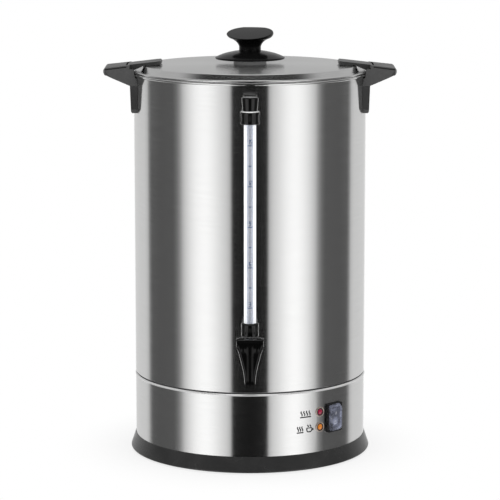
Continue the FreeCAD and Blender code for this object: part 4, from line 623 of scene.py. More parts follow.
def lattice(points: np.ndarray, wrap_rows: bool = False, finish: int = 0) -> Shell:
    """Join a grid of points into four-sided faces; the last column joins the first.

    Face (i, j) joins points (i, j), (i, j+1), (i+1, j+1) and (i+1, j), counted round where wrapped.

    Args:
        points: array of rows by columns by 3.
        wrap_rows: whether the last row joins the first too.
        finish: index of the piece's finish.

    Returns:
        The surface.
    """
    rows, columns = points.shape[:2]
    i, j = np.meshgrid(np.arange(rows if wrap_rows else rows - 1), np.arange(columns), indexing="ij")
    below, beside = (i + 1) % rows, (j + 1) % columns
    faces = np.stack([i * columns + j, i * columns + beside, below * columns + beside,
                      below * columns + j], axis=-1)
    return Shell(points.reshape(-1, 3), faces.reshape(-1, 4), finish)


def softened(corners: Sequence[Sequence[float]], radius: float | Sequence[float], closed: bool = True,
             steps: int = 5) -> np.ndarray:
    """Round the corners of an outline.

    Each corner C becomes the curve (1-t)^2 A + 2t(1-t) C + t^2 B, where A and B lie on its two sides at
    the radius from C, or at 0.45 of a side that is shorter.

    Args:
        corners: the outline's corners.
        radius: how far from each corner the rounding starts, one value or one each.
        closed: whether the outline runs back to its first corner; if not, its ends stay sharp.
        steps: points on each corner.

    Returns:
        The rounded outline as an array of points.
    """
    place = np.asarray(corners, float)
    reach = np.broadcast_to(np.asarray(radius, float), len(place)).copy()
    if not closed:
        reach[[0, -1]] = 0.0
    before, after = np.roll(place, 1, axis=0) - place, np.roll(place, -1, axis=0) - place
    long_before = np.linalg.norm(before, axis=1)[:, None] + 1e-12
    long_after = np.linalg.norm(after, axis=1)[:, None] + 1e-12
    start = place + before / long_before * np.minimum(reach[:, None], 0.45 * long_before)
    end = place + after / long_after * np.minimum(reach[:, None], 0.45 * long_after)
    t = np.linspace(0.0, 1.0, steps)[None, :, None]
    curve = (1 - t) ** 2 * start[:, None] + 2 * t * (1 - t) * place[:, None] + t ** 2 * end[:, None]
    line = curve.reshape(-1, place.shape[1])
    apart = np.linalg.norm(np.diff(line, axis=0, prepend=line[:1] - 1.0), axis=1) > 1e-6
    return line[apart]


def rectangle(left: float, foot: float, right: float, top: float, radius: float,
              steps: int = 5) -> np.ndarray:
    """A rectangle with rounded corners, anticlockwise from its left foot."""
    return softened([(left, foot), (right, foot), (right, top), (left, top)], radius, steps=steps)


def superellipses(rings: np.ndarray, around: int) -> np.ndarray:
    """Level rings |u/a|^n + |v/b|^n = 1, one above the other.

    Args:
        rings: rows of a, b, n and depth.
        around: number of points on a ring.

    Returns:
        Points (u, v, depth), a row for each ring.
    """
    a, b, n, depth = rings.T[:, :, None]
    turn = np.linspace(0.0, 2 * np.pi, around, endpoint=False)[None, :]
    c, s = np.cos(turn), np.sin(turn)
    u = a * np.sign(c) * np.abs(c) ** (2 / n)
    v = b * np.sign(s) * np.abs(s) ** (2 / n)
    return np.stack([u, v, depth + 0 * u], axis=-1)


def revolved(profile: np.ndarray, around: int = 160, centre: Point = (0.0, 0.0, 0.0),
             flutes: int = 0, flute_depth: float = 0.0, fluted: np.ndarray | None = None) -> Shell:
    """Carry a closed profile round an upright axis.

    A profile point (r, z) goes to (r sin a, -r cos a, z) for each angle a; with flutes, r is less by the
    flute's depth times the share that the point is fluted times the square of cos(a * flutes / 2).

    Args:
        profile: points of radius and height.
        around: number of angles.
        centre: where the axis stands and what is added to the heights.
        flutes: number of flutes round the piece.
        flute_depth: depth of a flute.
        fluted: how much of the depth each profile point takes.

    Returns:
        The surface.
    """
    angle = np.linspace(0.0, 2 * np.pi, around, endpoint=False)[None, :]
    r, z = profile[:, 0][:, None], profile[:, 1][:, None]
    if fluted is not None:
        r = r - flute_depth * fluted[:, None] * np.cos(angle * flutes / 2) ** 2
    points = np.stack([r * np.sin(angle), -r * np.cos(angle), z + 0 * angle], axis=-1) + np.array(centre)
    return lattice(points, wrap_rows=True)


def slab(outline: np.ndarray, near: float, far: float, place: Callable[[np.ndarray], np.ndarray],
         soft: float = 0.4, finish: int = 0) -> Shell:
    """A plate with a rounded rim.

    The outline is carried from the near face to the far one; at both faces it steps in by a quarter
    circle of the soft radius, towards the outline's middle, and the faces close to that middle.

    Args:
        outline: points (u, v) round the plate.
        near: depth of one face.
        far: depth of the other.
        place: takes an array of (u, v, depth) to the piece's own space.
        soft: radius of the rounded rim.
        finish: index of the piece's finish.

    Returns:
        The surface.
    """
    middle = (outline.max(axis=0) + outline.min(axis=0)) / 2
    half = np.linalg.norm(outline - middle, axis=1).mean()
    turn = np.linspace(0.0, np.pi / 2, 5)
    inset = np.concatenate([1 - np.sin(turn), (1 - np.sin(turn))[::-1]]) * soft
    sign = 1.0 if far > near else -1.0
    depth = np.concatenate([near + sign * soft * (1 - np.cos(turn)),
                            (far - sign * soft * (1 - np.cos(turn)))[::-1]])
    share = np.concatenate([[1.0], inset / half, [1.0]])[:, None, None]
    flat = outline[None] * (1 - share) + middle * share
    depth = np.concatenate([[near], depth, [far]])[:, None, None] + 0 * flat[..., :1]
    return lattice(place(np.concatenate([flat, depth], axis=-1)), finish=finish)


def swept(path: np.ndarray, section: np.ndarray, up: Point = (0.0, 0.0, 1.0)) -> Shell:
    """Carry a closed section along an open path.

    The section's first coordinate lies along the side direction, the cross product of the path's
    tangent and the up direction, and its second along the cross product of side and tangent. Both
    ends close to the path.

    Args:
        path: points of the path.
        section: points (side, rise) of the section, one set or one for each path point.
        up: direction that the section's second coordinate leans to.

    Returns:
        The surface.
    """
    tangent = np.gradient(path, axis=0)
    tangent /= np.linalg.norm(tangent, axis=1)[:, None]
    side = np.cross(tangent, np.asarray(up, float))
    side /= np.linalg.norm(side, axis=1)[:, None]
    rise = np.cross(side, tangent)
    sections = np.broadcast_to(section, (len(path), *section.shape[-2:]))
    points = (path[:, None] + side[:, None] * sections[..., :1] + rise[:, None] * sections[..., 1:])
    points = np.concatenate([np.repeat(path[:1, None], points.shape[1], axis=1), points,
                             np.repeat(path[-1:, None], points.shape[1], axis=1)])
    return lattice(points)


def capped(rows: np.ndarray) -> np.ndarray:
    """Close both ends of a tube: one more row at each end, drawn together to its end row's middle.

    Args:
        rows: array of rows by columns by 3.

    Returns:
        The rows with the two new ones.
    """
    ends = np.repeat(rows[[0, -1]].mean(axis=1, keepdims=True), rows.shape[1], axis=1)
    return np.concatenate([ends[:1], rows, ends[1:]])


def turned_about_z(points: np.ndarray, degrees: float) -> np.ndarray:
    """Turn points round the upright axis, anticlockwise from above."""
    c, s = math.cos(math.radians(degrees)), math.sin(math.radians(degrees))
    return points @ np.array([[c, s, 0.0], [-s, c, 0.0], [0.0, 0.0, 1.0]])


def on_drum(radius: float, degrees: float) -> Callable[[np.ndarray], np.ndarray]:
    """Lay flat points on the round wall.

    A point (u, v, depth) goes to the radius plus depth, at the angle u / radius round from the given
    direction, and at the height v.

    Args:
        radius: radius of the wall.
        degrees: direction round from the tap, to the right seen from the front.

    Returns:
        A function from (u, v, depth) to the piece's space.
    """
    def lay(points: np.ndarray) -> np.ndarray:
        """Bend flat points round the wall.

        Args:
            points: array of (u, v, depth).

        Returns:
            The points in the piece's space.
        """
        angle = math.radians(degrees) + points[..., 0] / radius
        reach = radius + points[..., 2]
        return np.stack([reach * np.sin(angle), -reach * np.cos(angle), points[..., 1]], axis=-1)

    return lay


def faced(points: np.ndarray, degrees: float) -> np.ndarray:
    """Stand flat points (u, v, depth) up, with their depth out from the axis in the given direction."""
    return turned_about_z(np.stack([points[..., 0], -points[..., 2], points[..., 1]], axis=-1), degrees)


def frontal(points: np.ndarray) -> np.ndarray:
    """Stand points (u, v, depth) up across the front: u to the right, v up and depth along +Y."""
    return np.stack([points[..., 0], points[..., 2], points[..., 1]], axis=-1)


def sideways(points: np.ndarray) -> np.ndarray:
    """Stand points (u, v, depth) up across the side: u along +Y, v up and depth to the right."""
    return np.stack([points[..., 2], points[..., 0], points[..., 1]], axis=-1)


class Maker:
    """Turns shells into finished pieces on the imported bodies.

    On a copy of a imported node, an edge sharper than copy_crease degrees stays sharp, and one sharper
    than rounded_from is rounded in rounding_steps faces. In metres, points nearer than merge_within
    are one point, and an edge shorter than shortest_edge is dropped.
    """

    materials: dict[str, bpy.types.Material] = {}
    copy_crease: float = 30.0
    rounded_from: float = 32.0
    rounding_steps: int = 3
    merge_within: float = 2e-7
    shortest_edge: float = 1e-8

    @classmethod
    def material(cls, name: str) -> bpy.types.Material:
        """The material of a finish, built the first time it is asked for."""
        if name not in cls.materials:
            cls.materials[name] = FINISHES[name].build()
        return cls.materials[name]

    @classmethod
    def piece(cls, name: str, shells: Iterable[Shell], finishes: Sequence[str], body: str = "root",
              replaces: Sequence[str] = (), crease: float = 38.0,
              slot: str | None = None) -> bpy.types.Object:
        """Make one piece of the object.

        Args:
            name: the piece's name.
            shells: its closed surfaces, in millimetres.
            finishes: names of its finishes; a shell's number picks one.
            body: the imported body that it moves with.
            replaces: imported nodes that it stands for.
            crease: angle above which an edge stays sharp, in degrees.
            slot: the record's material slot, if it isn't the first finish's name.

        Returns:
            The piece.
        """
        parts = list(shells)
        starts = np.cumsum([0] + [len(part.points) for part in parts[:-1]])
        points = np.concatenate([part.points for part in parts]) * MM
        faces = np.concatenate([part.faces + start for part, start in zip(parts, starts)])
        marks = np.concatenate([np.full(len(part.faces), part.finish) for part in parts])
        mesh = bpy.data.meshes.new(name)
        mesh.from_pydata(points, [], faces)
        mesh.polygons.foreach_set("material_index", marks.astype(np.int32))
        for finish in finishes:
            mesh.materials.append(cls.material(finish))
        cls.close(mesh)
        mesh.shade_smooth()
        mesh.set_sharp_from_angle(angle=math.radians(crease))
        return cls.settle(name, mesh, body, replaces, slot or finishes[0])

    @classmethod
    def softened_copy(cls, name: str, node: str, finish: str, body: str,
                      width: float) -> bpy.types.Object:
        """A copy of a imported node, merged, with its sharp edges rounded.

        Args:
            name: the piece's name.
            node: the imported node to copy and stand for.
            finish: name of the finish.
            body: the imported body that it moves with.
            width: width of the rounding in millimetres.

        Returns:
            The piece.
        """
        source = frame["nodes"][node].data
        points = np.zeros(len(source.vertices) * 3)
        source.vertices.foreach_get("co", points)
        mesh = bpy.data.meshes.new(name)
        mesh.from_pydata(points.reshape(-1, 3), [], [tuple(face.vertices) for face in source.polygons])
        mesh.materials.append(cls.material(finish))
        cls.close(mesh)
        mesh.shade_smooth()
        mesh.set_sharp_from_angle(angle=math.radians(cls.copy_crease))
        piece = cls.settle(name, mesh, body, [node], finish)
        rounding = piece.modifiers.new("soft_edges", "BEVEL")
        rounding.width = width * MM
        rounding.segments = cls.rounding_steps
        rounding.limit_method = "ANGLE"
        rounding.angle_limit = math.radians(cls.rounded_from)
        rounding.harden_normals = True
        return piece

    @classmethod
    def close(cls, mesh: bpy.types.Mesh) -> None:
        """Merge doubles, drop what has no area and turn every face outwards.

        Args:
            mesh: the mesh to mend.
        """
        work = bmesh.new()
        work.from_mesh(mesh)
        bmesh.ops.remove_doubles(work, verts=work.verts, dist=cls.merge_within)
        bmesh.ops.dissolve_degenerate(work, edges=work.edges, dist=cls.shortest_edge)
        bmesh.ops.recalc_face_normals(work, faces=work.faces)
        work.to_mesh(mesh)
        work.free()

    @staticmethod
    def settle(name: str, mesh: bpy.types.Mesh, body: str, replaces: Sequence[str],
               slot: str) -> bpy.types.Object:
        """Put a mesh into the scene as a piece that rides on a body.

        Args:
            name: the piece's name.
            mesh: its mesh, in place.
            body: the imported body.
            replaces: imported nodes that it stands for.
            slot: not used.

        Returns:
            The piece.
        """
        piece = bpy.data.objects.new(name, mesh)
        bpy.context.scene.collection.objects.link(piece)
        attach(piece, body)
        if replaces:
            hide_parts(*replaces)
        LOG.info("%s: %d faces on %s", name, len(mesh.polygons), body)
        return piece


def through(start: Sequence[float], middle: Sequence[float], end: Sequence[float],
            steps: int = 12) -> np.ndarray:
    """A smooth curve from start to end that passes the middle point half way.

    The curve is (1-t)^2 A + 2t(1-t) K + t^2 B with K = 2M - (A + B) / 2, for t from 0 to 1.

    Args:
        start: point A.
        middle: point M.
        end: point B.
        steps: number of points.

    Returns:
        The curve as an array of points.
    """
    a, m, b = (np.asarray(p, float) for p in (start, middle, end))
    t = np.linspace(0.0, 1.0, steps)[:, None]
    return (1 - t) ** 2 * a + 2 * t * (1 - t) * (2 * m - (a + b) / 2) + t ** 2 * b


def ring_arc(centre: Sequence[float], radius: float, first: float, last: float,
             steps: int = 10) -> np.ndarray:
    """Part of a circle in the profile plane, from one angle to another in degrees."""
    angle = np.radians(np.linspace(first, last, steps))
    return np.stack([centre[0] + radius * np.cos(angle), centre[1] + radius * np.sin(angle)], axis=-1)


def outward(profile: np.ndarray, degrees: float, height: float, around: int = 48,
            finish: int = 0) -> Shell:
    """Turn a closed profile of (radius, depth) about an axis that points straight out of the wall.

    A profile point goes to (r cos a, height + r sin a, depth), stood at the direction given.

    Args:
        profile: points of radius and depth.
        degrees: direction round from the tap, to the right seen from the front.
        height: height of the axis.
        around: number of angles.
        finish: index of the piece's finish.

    Returns:
        The surface.
    """
    angle = np.linspace(0.0, 2 * np.pi, around, endpoint=False)[None, :]
    r, depth = profile[:, 0][:, None], profile[:, 1][:, None]
    flat = np.stack([r * np.cos(angle), height + r * np.sin(angle), depth + 0 * angle], axis=-1)
    return lattice(faced(flat, degrees), wrap_rows=True, finish=finish)


def smooth(value: np.ndarray, start: float, end: float) -> np.ndarray:
    """0 before start, 1 after end, and t^2 (3 - 2t) between."""
    t = np.clip((value - start) / (end - start), 0.0, 1.0)
    return t * t * (3 - 2 * t)


# ---- the urn's parts -----------------------------------------------------------------------------

@dataclass
class TankShell:
    """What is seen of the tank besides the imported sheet: its mouth, the seam's trim and the rear weld."""

    radius: float = SKIRT_RADIUS
    lap_radius: float = 139.1
    skirt_foot: float = 21.5
    seam_bottom: float = SKIRT_TOP
    seam_top: float = 97.5
    rim: float = 458.0
    bead_radius: float = 139.8
    bead_height: float = 460.0
    bead_roll: float = 1.75
    edge_proud: float = 0.5
    edge_wide: float = 2.9
    edge_tall: float = 2.8
    edge_upright: float = 1.1
    edge_top: float = 1.2
    # Radial and height offsets of a dark ring in the groove: painted shade.
    band: tuple[float, float] = (-0.1, 0.3)
    band_ends: tuple[float, float] = (-1.9, -0.05)
    weld_angle: float = 180.0
    weld_half: float = 0.9
    weld_rise: float = 0.1
    weld_sunk: float = 0.1
    weld_step: float = 1.5

    def build(self) -> None:
        """Make the trim of the mouth and the seam, and the weld."""
        self.make_bead()
        self.make_seam()
        self.make_weld()

    def make_bead(self) -> None:
        """The rolled bead round the mouth: a circle of the bead's section turned about the axis."""
        section = ring_arc((self.bead_radius, self.bead_height), self.bead_roll, -180, 180, 28)[:-1]
        Maker.piece("mouth_bead", [revolved(section, 384)], ["brushed_steel"])

    def make_seam(self) -> None:
        """A chamfered edge on top of the skirt, and a dark band in the groove above it: painted shade that
        darkens the groove.
        """
        out, foot = self.radius + self.edge_proud, self.seam_bottom - self.edge_proud
        back, top = out - self.edge_wide, foot + self.edge_tall
        edge = softened([(back, foot), (out, foot), (out, foot + self.edge_upright),
                         (back + self.edge_top, top), (back, top)], [0.2, 0.4, 0.3, 0.4, 0.2])
        (inside, outside), (low_end, high_end) = self.band, self.band_ends
        band = rectangle(self.lap_radius + inside, self.seam_top + low_end,
                         self.lap_radius + outside, self.seam_top + high_end, 0.15)
        Maker.piece("seam_edge", [revolved(edge, 256)], ["rolled_edge"], slot="brushed_steel")
        # Painted shade: a dark ring that darkens the groove above the skirt.
        Maker.piece("groove_shade_band", [revolved(band, 256)], ["rubber"])

    def weld(self, low_end: float, high_end: float) -> Shell:
        """A low ribbon up the wall whose width and height wander.

        At the height z and the share u across, from -1 to 1, a point lies u (w + 0.12 sin 2.1z + 0.08
        sin(0.73z + 1)) to the side and (h + 0.03 sin 3.3z)(1 - u^2) proud, for the weld's half width w
        and rise h. The back is flat and sunk into the wall.

        Args:
            low_end: height of the lower end.
            high_end: height of the upper end.

        Returns:
            The closed ribbon.
        """
        z = np.linspace(low_end, high_end, int((high_end - low_end) / self.weld_step))
        u = np.linspace(-1.0, 1.0, 9)
        half = self.weld_half + 0.12 * np.sin(z * 2.1) + 0.08 * np.sin(z * 0.73 + 1)
        ripple = self.weld_rise + 0.03 * np.sin(z * 3.3)
        width = half[:, None] * u[None, :]
        proud = ripple[:, None] * (1 - u[None, :] ** 2)
        face = np.stack([width, z[:, None] + 0 * width, proud], axis=-1)
        back = np.stack([width[:, ::-1], z[:, None] + 0 * width, 0 * width - self.weld_sunk], axis=-1)
        return lattice(on_drum(self.radius, self.weld_angle)(capped(np.concatenate([face, back], axis=1))))

    def make_weld(self) -> None:
        """The tank's and the skirt's long welds at the rear."""
        Maker.piece("rear_weld", [self.weld(self.seam_top + 1, self.rim),
                                  self.weld(self.skirt_foot, self.seam_bottom - 1.5)],
                    ["weld_steel"], slot="plain_steel")


@dataclass
class LidAssembly:
    """Pressed lid, finger guard and mushroom knob."""

    plateau_radius: float = 127.7
    plateau: float = 470.0
    crown: float = 1.8
    plateau_edge: float = 2.2
    step_radius: float = 131.0
    flange: float = 462.0
    sheet: float = 0.8
    edge_radius: float = 140.3
    roll: float = 1.2
    lip_radius: float = 137.6
    lip_depth: float = 8.0
    hole: float = 2.6
    hub: float = 484.0
    neck_radius: float = 13.2
    neck_height: float = 8.0
    head_radius: float = 28.3
    head_under: float = 501.2
    widest: float = 506.8
    top: float = 514.0
    crown_start: float = 513.4
    shoulder: float = 23.0
    face: float = 508.8
    face_crown: float = 0.35
    slant: float = 14.0
    lean: float = 4.0
    edge_round: float = 0.9
    bore_top: float = 498.5
    guard_radius: float = 42.0
    guard_rim: float = 477.0
    guard_rim_half: float = 1.3
    guard_foot: float = 475.0
    guard_foot_radii: tuple[float, float] = (17.8, 19.4)
    guard_dome: tuple[tuple[float, float], ...] = ((37.6, 481.1), (31.0, 483.7), (19.0, 486.4))
    guard_top: float = 487.0

    def build(self) -> None:
        """Make the lid, the guard and the knob."""
        self.make_lid()
        self.make_guard()
        self.make_knob()

    def domed(self, drop: float = 0.0) -> np.ndarray:
        """The dome from its hole to the plateau's edge: height falls with the square of the radius."""
        r = np.linspace(self.hole, self.plateau_radius - self.plateau_edge - drop, 26)
        return np.stack([r, self.plateau + self.crown * (1 - (r / self.plateau_radius) ** 2) - drop], axis=-1)

    def make_lid(self) -> None:
        """One closed profile: over the dome, down the step, round the rolled edge and back underneath."""
        under = self.sheet
        lip_foot, lip_inside = self.flange - self.lip_depth, self.lip_radius - self.sheet
        over = softened([self.domed()[-1], (self.plateau_radius, self.plateau - 0.1),
                         (self.step_radius, self.flange + under),
                         (self.edge_radius - 1.6, self.flange + under + 0.05),
                         (self.edge_radius - 0.9, self.flange + 2 * self.roll - 0.4)],
                        [0, 0.6, 1.2, 0.6, 0], closed=False, steps=6)
        roll = ring_arc((self.edge_radius, self.flange + self.roll), self.roll, 140, -90, 14)
        back = softened([(self.edge_radius - 1.0, self.flange), (self.lip_radius, self.flange),
                         (self.lip_radius, lip_foot), (lip_inside, lip_foot), (lip_inside, self.flange),
                         (self.step_radius - under, self.flange),
                         (self.plateau_radius - under, self.plateau - under), self.domed(under)[-1]],
                        [0.3, 0.5, 0.3, 0.3, 0.5, 1.0, 1.4, 0], closed=False)
        profile = np.concatenate([self.domed(), over[1:], roll, back, self.domed(under)[::-1][1:]])
        Maker.piece("lid_pressing", [revolved(profile, 256)], ["lid_steel"], "lid", ["lid"], crease=60)

    def make_guard(self) -> None:
        """Dished disc with a rounded rim, hollow below."""
        half, collar = self.guard_rim_half, self.neck_radius + 0.2
        edge = self.guard_radius - half
        rim = ring_arc((edge, self.guard_rim + half), half, -90, 80, 10)
        over = softened([rim[-1], *self.guard_dome, (collar, self.guard_top), (collar, self.hub),
                         (self.hole, self.hub)], [0, 2.0, 8.0, 8.0, 0.3, 0, 0], closed=False)
        foot, flare = self.guard_foot_radii
        under = softened([(self.hole, self.guard_foot), (foot, self.guard_foot), (flare, self.guard_foot + 3),
                          (edge, self.guard_rim)], [0, 0.4, 1.0, 0], closed=False)
        profile = np.concatenate([under, rim[1:], over[1:]])
        Maker.piece("finger_guard", [revolved(profile, 160)], ["knob_plastic"], "lid", ["knob_guard"],
                    crease=45)

    def knob_curve(self) -> np.ndarray:
        """The knob's outline in a half plane, as if its face were level.

        Returns:
            Points (r, z) from the neck, under the head, round its rim and over the crown to the axis.
        """
        neck_top, under = self.hub + self.neck_height, self.head_under
        cove = through((self.neck_radius, neck_top), (self.neck_radius + 3.0, under - 4.0),
                       (self.head_radius - 6, under), 20)
        lip = through((self.head_radius - 6, under), (self.head_radius - 2.1, under + 2.1),
                      (self.head_radius, self.widest), 20)
        rim = through((self.head_radius, self.widest), (self.head_radius - 1.2, self.widest + 4.0),
                      (self.shoulder, self.crown_start), 20)
        crown = np.stack([np.linspace(self.shoulder, 0.0, 30), np.linspace(self.crown_start, self.top, 30)],
                         axis=-1)
        return np.concatenate([cove, lip[1:], rim[1:], crown[1:]])

    def make_knob(self) -> None:
        """Mushroom with a straight neck, a hollowed underside, a full rim and a slanted face.

        In each half plane through the axis the outline runs up from the neck, under the head and round
        its rim, until it meets the plane of the face, whose height is c + r (a cos t + b sin t). A
        quadratic curve rounds the corner, and the face goes on to the middle with a slight crown.
        """
        curve = self.knob_curve()
        length = np.concatenate([[0.0], np.cumsum(np.linalg.norm(np.diff(curve, axis=0), axis=1))])
        turn = np.linspace(0.0, 2 * np.pi, 192, endpoint=False)
        rise = (math.tan(math.radians(self.slant)) * np.sin(turn)
                + math.tan(math.radians(self.lean)) * np.cos(turn))
        fine = np.linspace(0.0, length[-1], 1500)
        r, z = np.interp(fine, length, curve[:, 0]), np.interp(fine, length, curve[:, 1])
        over = z[:, None] - (self.face + r[:, None] * rise[None, :]) > 0
        meet = fine[np.argmax(over, axis=0)]
        s = np.linspace(0.0, 1.0, 44)[:, None] * (meet - self.edge_round)[None, :]
        side = np.stack([np.interp(s, length, curve[:, 0]), np.interp(s, length, curve[:, 1])], axis=-1)
        corner_r = np.interp(meet, length, curve[:, 0])
        corner = np.stack([corner_r, self.face + corner_r * rise], axis=-1)
        inner_r = corner_r - self.edge_round
        inner = np.stack([inner_r, self.face + inner_r * rise], axis=-1)
        t = np.linspace(0.0, 1.0, 9)[1:, None, None]
        bend = (1 - t) ** 2 * side[-1] + 2 * t * (1 - t) * corner + t ** 2 * inner
        k = np.linspace(1.0, 0.0, 18)[1:, None]
        face_r = k * inner_r[None, :]
        face = np.stack([face_r, self.face + face_r * rise + self.face_crown * (1 - k ** 2)], axis=-1)
        neck = softened([(self.hole, self.hub), (self.neck_radius, self.hub),
                         (self.neck_radius, self.hub + self.neck_height)], [0, 0.6, 0], closed=False)
        foot = np.broadcast_to(neck[:-1, None, :], (len(neck) - 1, len(turn), 2))
        bore = np.broadcast_to(np.array([(0.0, self.bore_top), (self.hole, self.bore_top)])[:, None, :],
                               (2, len(turn), 2))
        rows = np.concatenate([foot, side, bend, face, bore])
        points = np.stack([rows[..., 0] * np.cos(turn), rows[..., 0] * np.sin(turn), rows[..., 1]], axis=-1)
        Maker.piece("knob_head", [lattice(points, wrap_rows=True)], ["knob_plastic"], "lid", ["knob"],
                    crease=42)


# The bars of each digit: a on top, b and c down the right, d at the foot, e and f up the left, g across.
DIGIT_BARS: dict[str, str] = {
    "0": "abcdef", "1": "bc", "2": "abged", "3": "abgcd", "4": "fgbc",
    "5": "afgcd", "6": "afgedc", "7": "abc", "8": "abcdefg", "9": "abcdfg"}


@dataclass
class SightGauge:
    """Glass, clear guard with its white back, printed marks and the two collar nuts."""

    out: float = -(GUARD_FRONT + GUARD_BACK) / 2
    glass: tuple[float, float] = (4.0, 2.8)
    glass_ends: tuple[float, float] = (164.0, 432.0)
    guard: tuple[float, float] = (7.0, 6.1)
    guard_ends: tuple[float, float] = (GUARD_FOOT, GUARD_TOP)
    white_half: float = 96.0
    hairline: float = 0.05
    strip_half: float = 3.2
    strip_thick: float = 0.6
    strip_gap: float = 0.5
    # Grey lines on the strip: painted shade at the glass bore's edges and a painted reflection in the middle.
    lines: tuple[float, ...] = (-2.75, 0.0, 2.75)
    line_half: float = 0.22
    mark_half: float = 0.6
    print_back: float = 0.3
    first_mark: float = 200.8
    spacing: float = 47.4
    litres: int = 3
    digit: tuple[float, float] = (1.7, 4.6)
    digit_gap: float = 0.9
    pen: float = 0.8
    top_nut: tuple[float, float, float] = (11.4, 416.0, 431.0)
    bottom_nut: tuple[float, float, float] = (10.3, 168.5, 184.5)
    neck: float = 8.1
    flute_depth: float = 0.45

    def build(self) -> None:
        """Make the tubes, the printed back and the nuts."""
        self.make_tubes()
        self.make_back()
        self.make_nuts()

    @property
    def axis(self) -> Point:
        """Where the gauge's axis stands."""
        return (0.0, -self.out, 0.0)

    def make_tubes(self) -> None:
        """The glass with fire-polished ends, and the guard: clear in front, white behind."""
        (outer, inner), (low_end, high_end) = self.glass, self.glass_ends
        glass = revolved(rectangle(inner, low_end, outer, high_end, 0.5), 48, self.axis)
        Maker.piece("level_glass", [glass], ["gauge_glass"], replaces=["gauge_glass"], crease=50)
        clear = self.white_half + self.hairline
        Maker.piece("clear_guard", [self.guard_part(clear, 360 - clear, 0),
                                    self.guard_part(-self.white_half, self.white_half, 1)],
                    ["gauge_guard", "opal_back"], replaces=["gauge_guard"], crease=50)

    def guard_part(self, first: float, last: float, finish: int) -> Shell:
        """The guard's wall between two angles, in degrees from the gauge's back.

        A point (r, z) of the wall's section goes to (r sin a, r cos a, z) from the gauge's axis for each
        angle a.

        Args:
            first: where the part begins.
            last: where it ends.
            finish: index of its finish.

        Returns:
            The closed surface.
        """
        (outer, inner), (low_end, high_end) = self.guard, self.guard_ends
        r = np.array([inner, outer, outer, inner])
        z = np.array([low_end, low_end, high_end, high_end])
        angle = np.radians(np.linspace(first, last, 33))[:, None]
        rows = np.stack([r * np.sin(angle), r * np.cos(angle) - self.out, z + 0 * angle], axis=-1)
        return lattice(capped(rows), finish=finish)

    def make_back(self) -> None:
        """The strip behind the glass, its marks and its numbers, and three grey lines: painted shade of the
        glass bore's edges and a painted reflection down its middle.
        """
        low_end, high_end = self.guard_ends
        front = -(self.out - self.glass[0] - self.strip_gap)
        back = front + self.print_back
        shells = [slab(rectangle(-self.strip_half, low_end, self.strip_half, high_end, 0.2),
                       front, front + self.strip_thick, frontal, 0.1)]
        # Painted shade and reflection: grey lines where the bore's edges and middle look dark.
        shells += [slab(rectangle(middle - self.line_half, low_end + 4, middle + self.line_half,
                                  high_end - 8, 0.1), front - 0.12, back, frontal, 0.03, finish=2)
                   for middle in self.lines]
        count = int((high_end - 10 - self.first_mark) / (self.spacing / 2)) + 1
        for index in range(count):
            height = self.first_mark + index * self.spacing / 2
            half = self.strip_half if index % 2 == 0 else self.strip_half / 2
            mark = rectangle(-half, height - self.mark_half, half, height + self.mark_half, 0.2)
            shells.append(slab(mark, front - 0.25, back, frontal, 0.05, finish=1))
            if index % 2 == 0:
                shells += self.number(self.litres * (index // 2 + 1), height + 1.6, front)
        Maker.piece("printed_scale", shells, ["scale_strip", "scale_blue", "painted_shade_grey"],
                    replaces=["gauge_scale"])

    def number(self, value: int, height: float, front: float) -> list[Shell]:
        """A number of plain strokes above its mark; each stroke lies a hair prouder than the last.

        Args:
            value: the number.
            height: foot of the digits.
            front: the strip's front face.

        Returns:
            One flat plate for each stroke.
        """
        wide, tall = self.digit
        nib = self.pen / 2
        bars = {"a": (0, tall, wide, tall), "b": (wide, tall / 2, wide, tall), "c": (wide, 0, wide, tall / 2),
                "d": (0, 0, wide, 0), "e": (0, 0, 0, tall / 2), "f": (0, tall / 2, 0, tall),
                "g": (0, tall / 2, wide, tall / 2)}
        text = str(value)
        shells = []
        for place, digit in enumerate(text):
            left = (place - len(text) / 2) * (wide + self.digit_gap) + self.digit_gap / 2
            for rank, name in enumerate(DIGIT_BARS[digit]):
                x0, z0, x1, z1 = bars[name]
                stroke = rectangle(left + x0 - nib, height + z0, left + x1 + nib, height + z1 + self.pen,
                                   0.15)
                proud = 0.005 * rank
                shells.append(slab(stroke, front - 0.2 - proud, front + self.print_back + proud,
                                   frontal, 0.04, finish=1))
        return shells

    def collar(self, size: tuple[float, float, float], socket: float, mouth_up: bool, flutes: int) -> Shell:
        """A fluted collar nut with a chamfered shoulder.

        It is bored for the tube at one end and for the fitting's neck at the other. A flute fades out
        towards both ends.

        Args:
            size: outer radius, and heights of the lower and upper end.
            socket: height of the web's lower face, where the guard's tube ends.
            mouth_up: whether the tube comes in from above.
            flutes: number of flutes round it.

        Returns:
            The closed surface.
        """
        outer, low_end, high_end = size
        tube, glass, web = self.guard[0] + 0.1, self.glass[0] + 0.3, socket + 2.0
        lower, upper = (self.neck, tube) if mouth_up else (tube, self.neck)
        profile = softened([(lower, low_end), (outer - 0.8, low_end), (outer, low_end + 0.9),
                            (outer, high_end - 1.5), (outer - 1.5, high_end), (upper, high_end),
                            (upper, web), (glass, web), (glass, socket), (lower, socket)],
                           [0.2, 0.4, 0.5, 0.5, 0.4, 0.2, 0.1, 0.1, 0.1, 0.1], steps=4)
        side = np.stack([np.full(8, outer), np.linspace(low_end + 1.4, high_end - 2.2, 8)], axis=-1)
        at = int(np.argmax(profile[:, 1] > low_end + 1.5))
        profile = np.concatenate([profile[:at], side, profile[at:]])
        r, z = profile.T
        fluted = ((r > outer - 0.02) * smooth(z, low_end + 1.2, low_end + 2.6)
                  * (1 - smooth(z, high_end - 3.4, high_end - 2.0)))
        return revolved(profile, 192, self.axis, flutes, self.flute_depth, fluted)

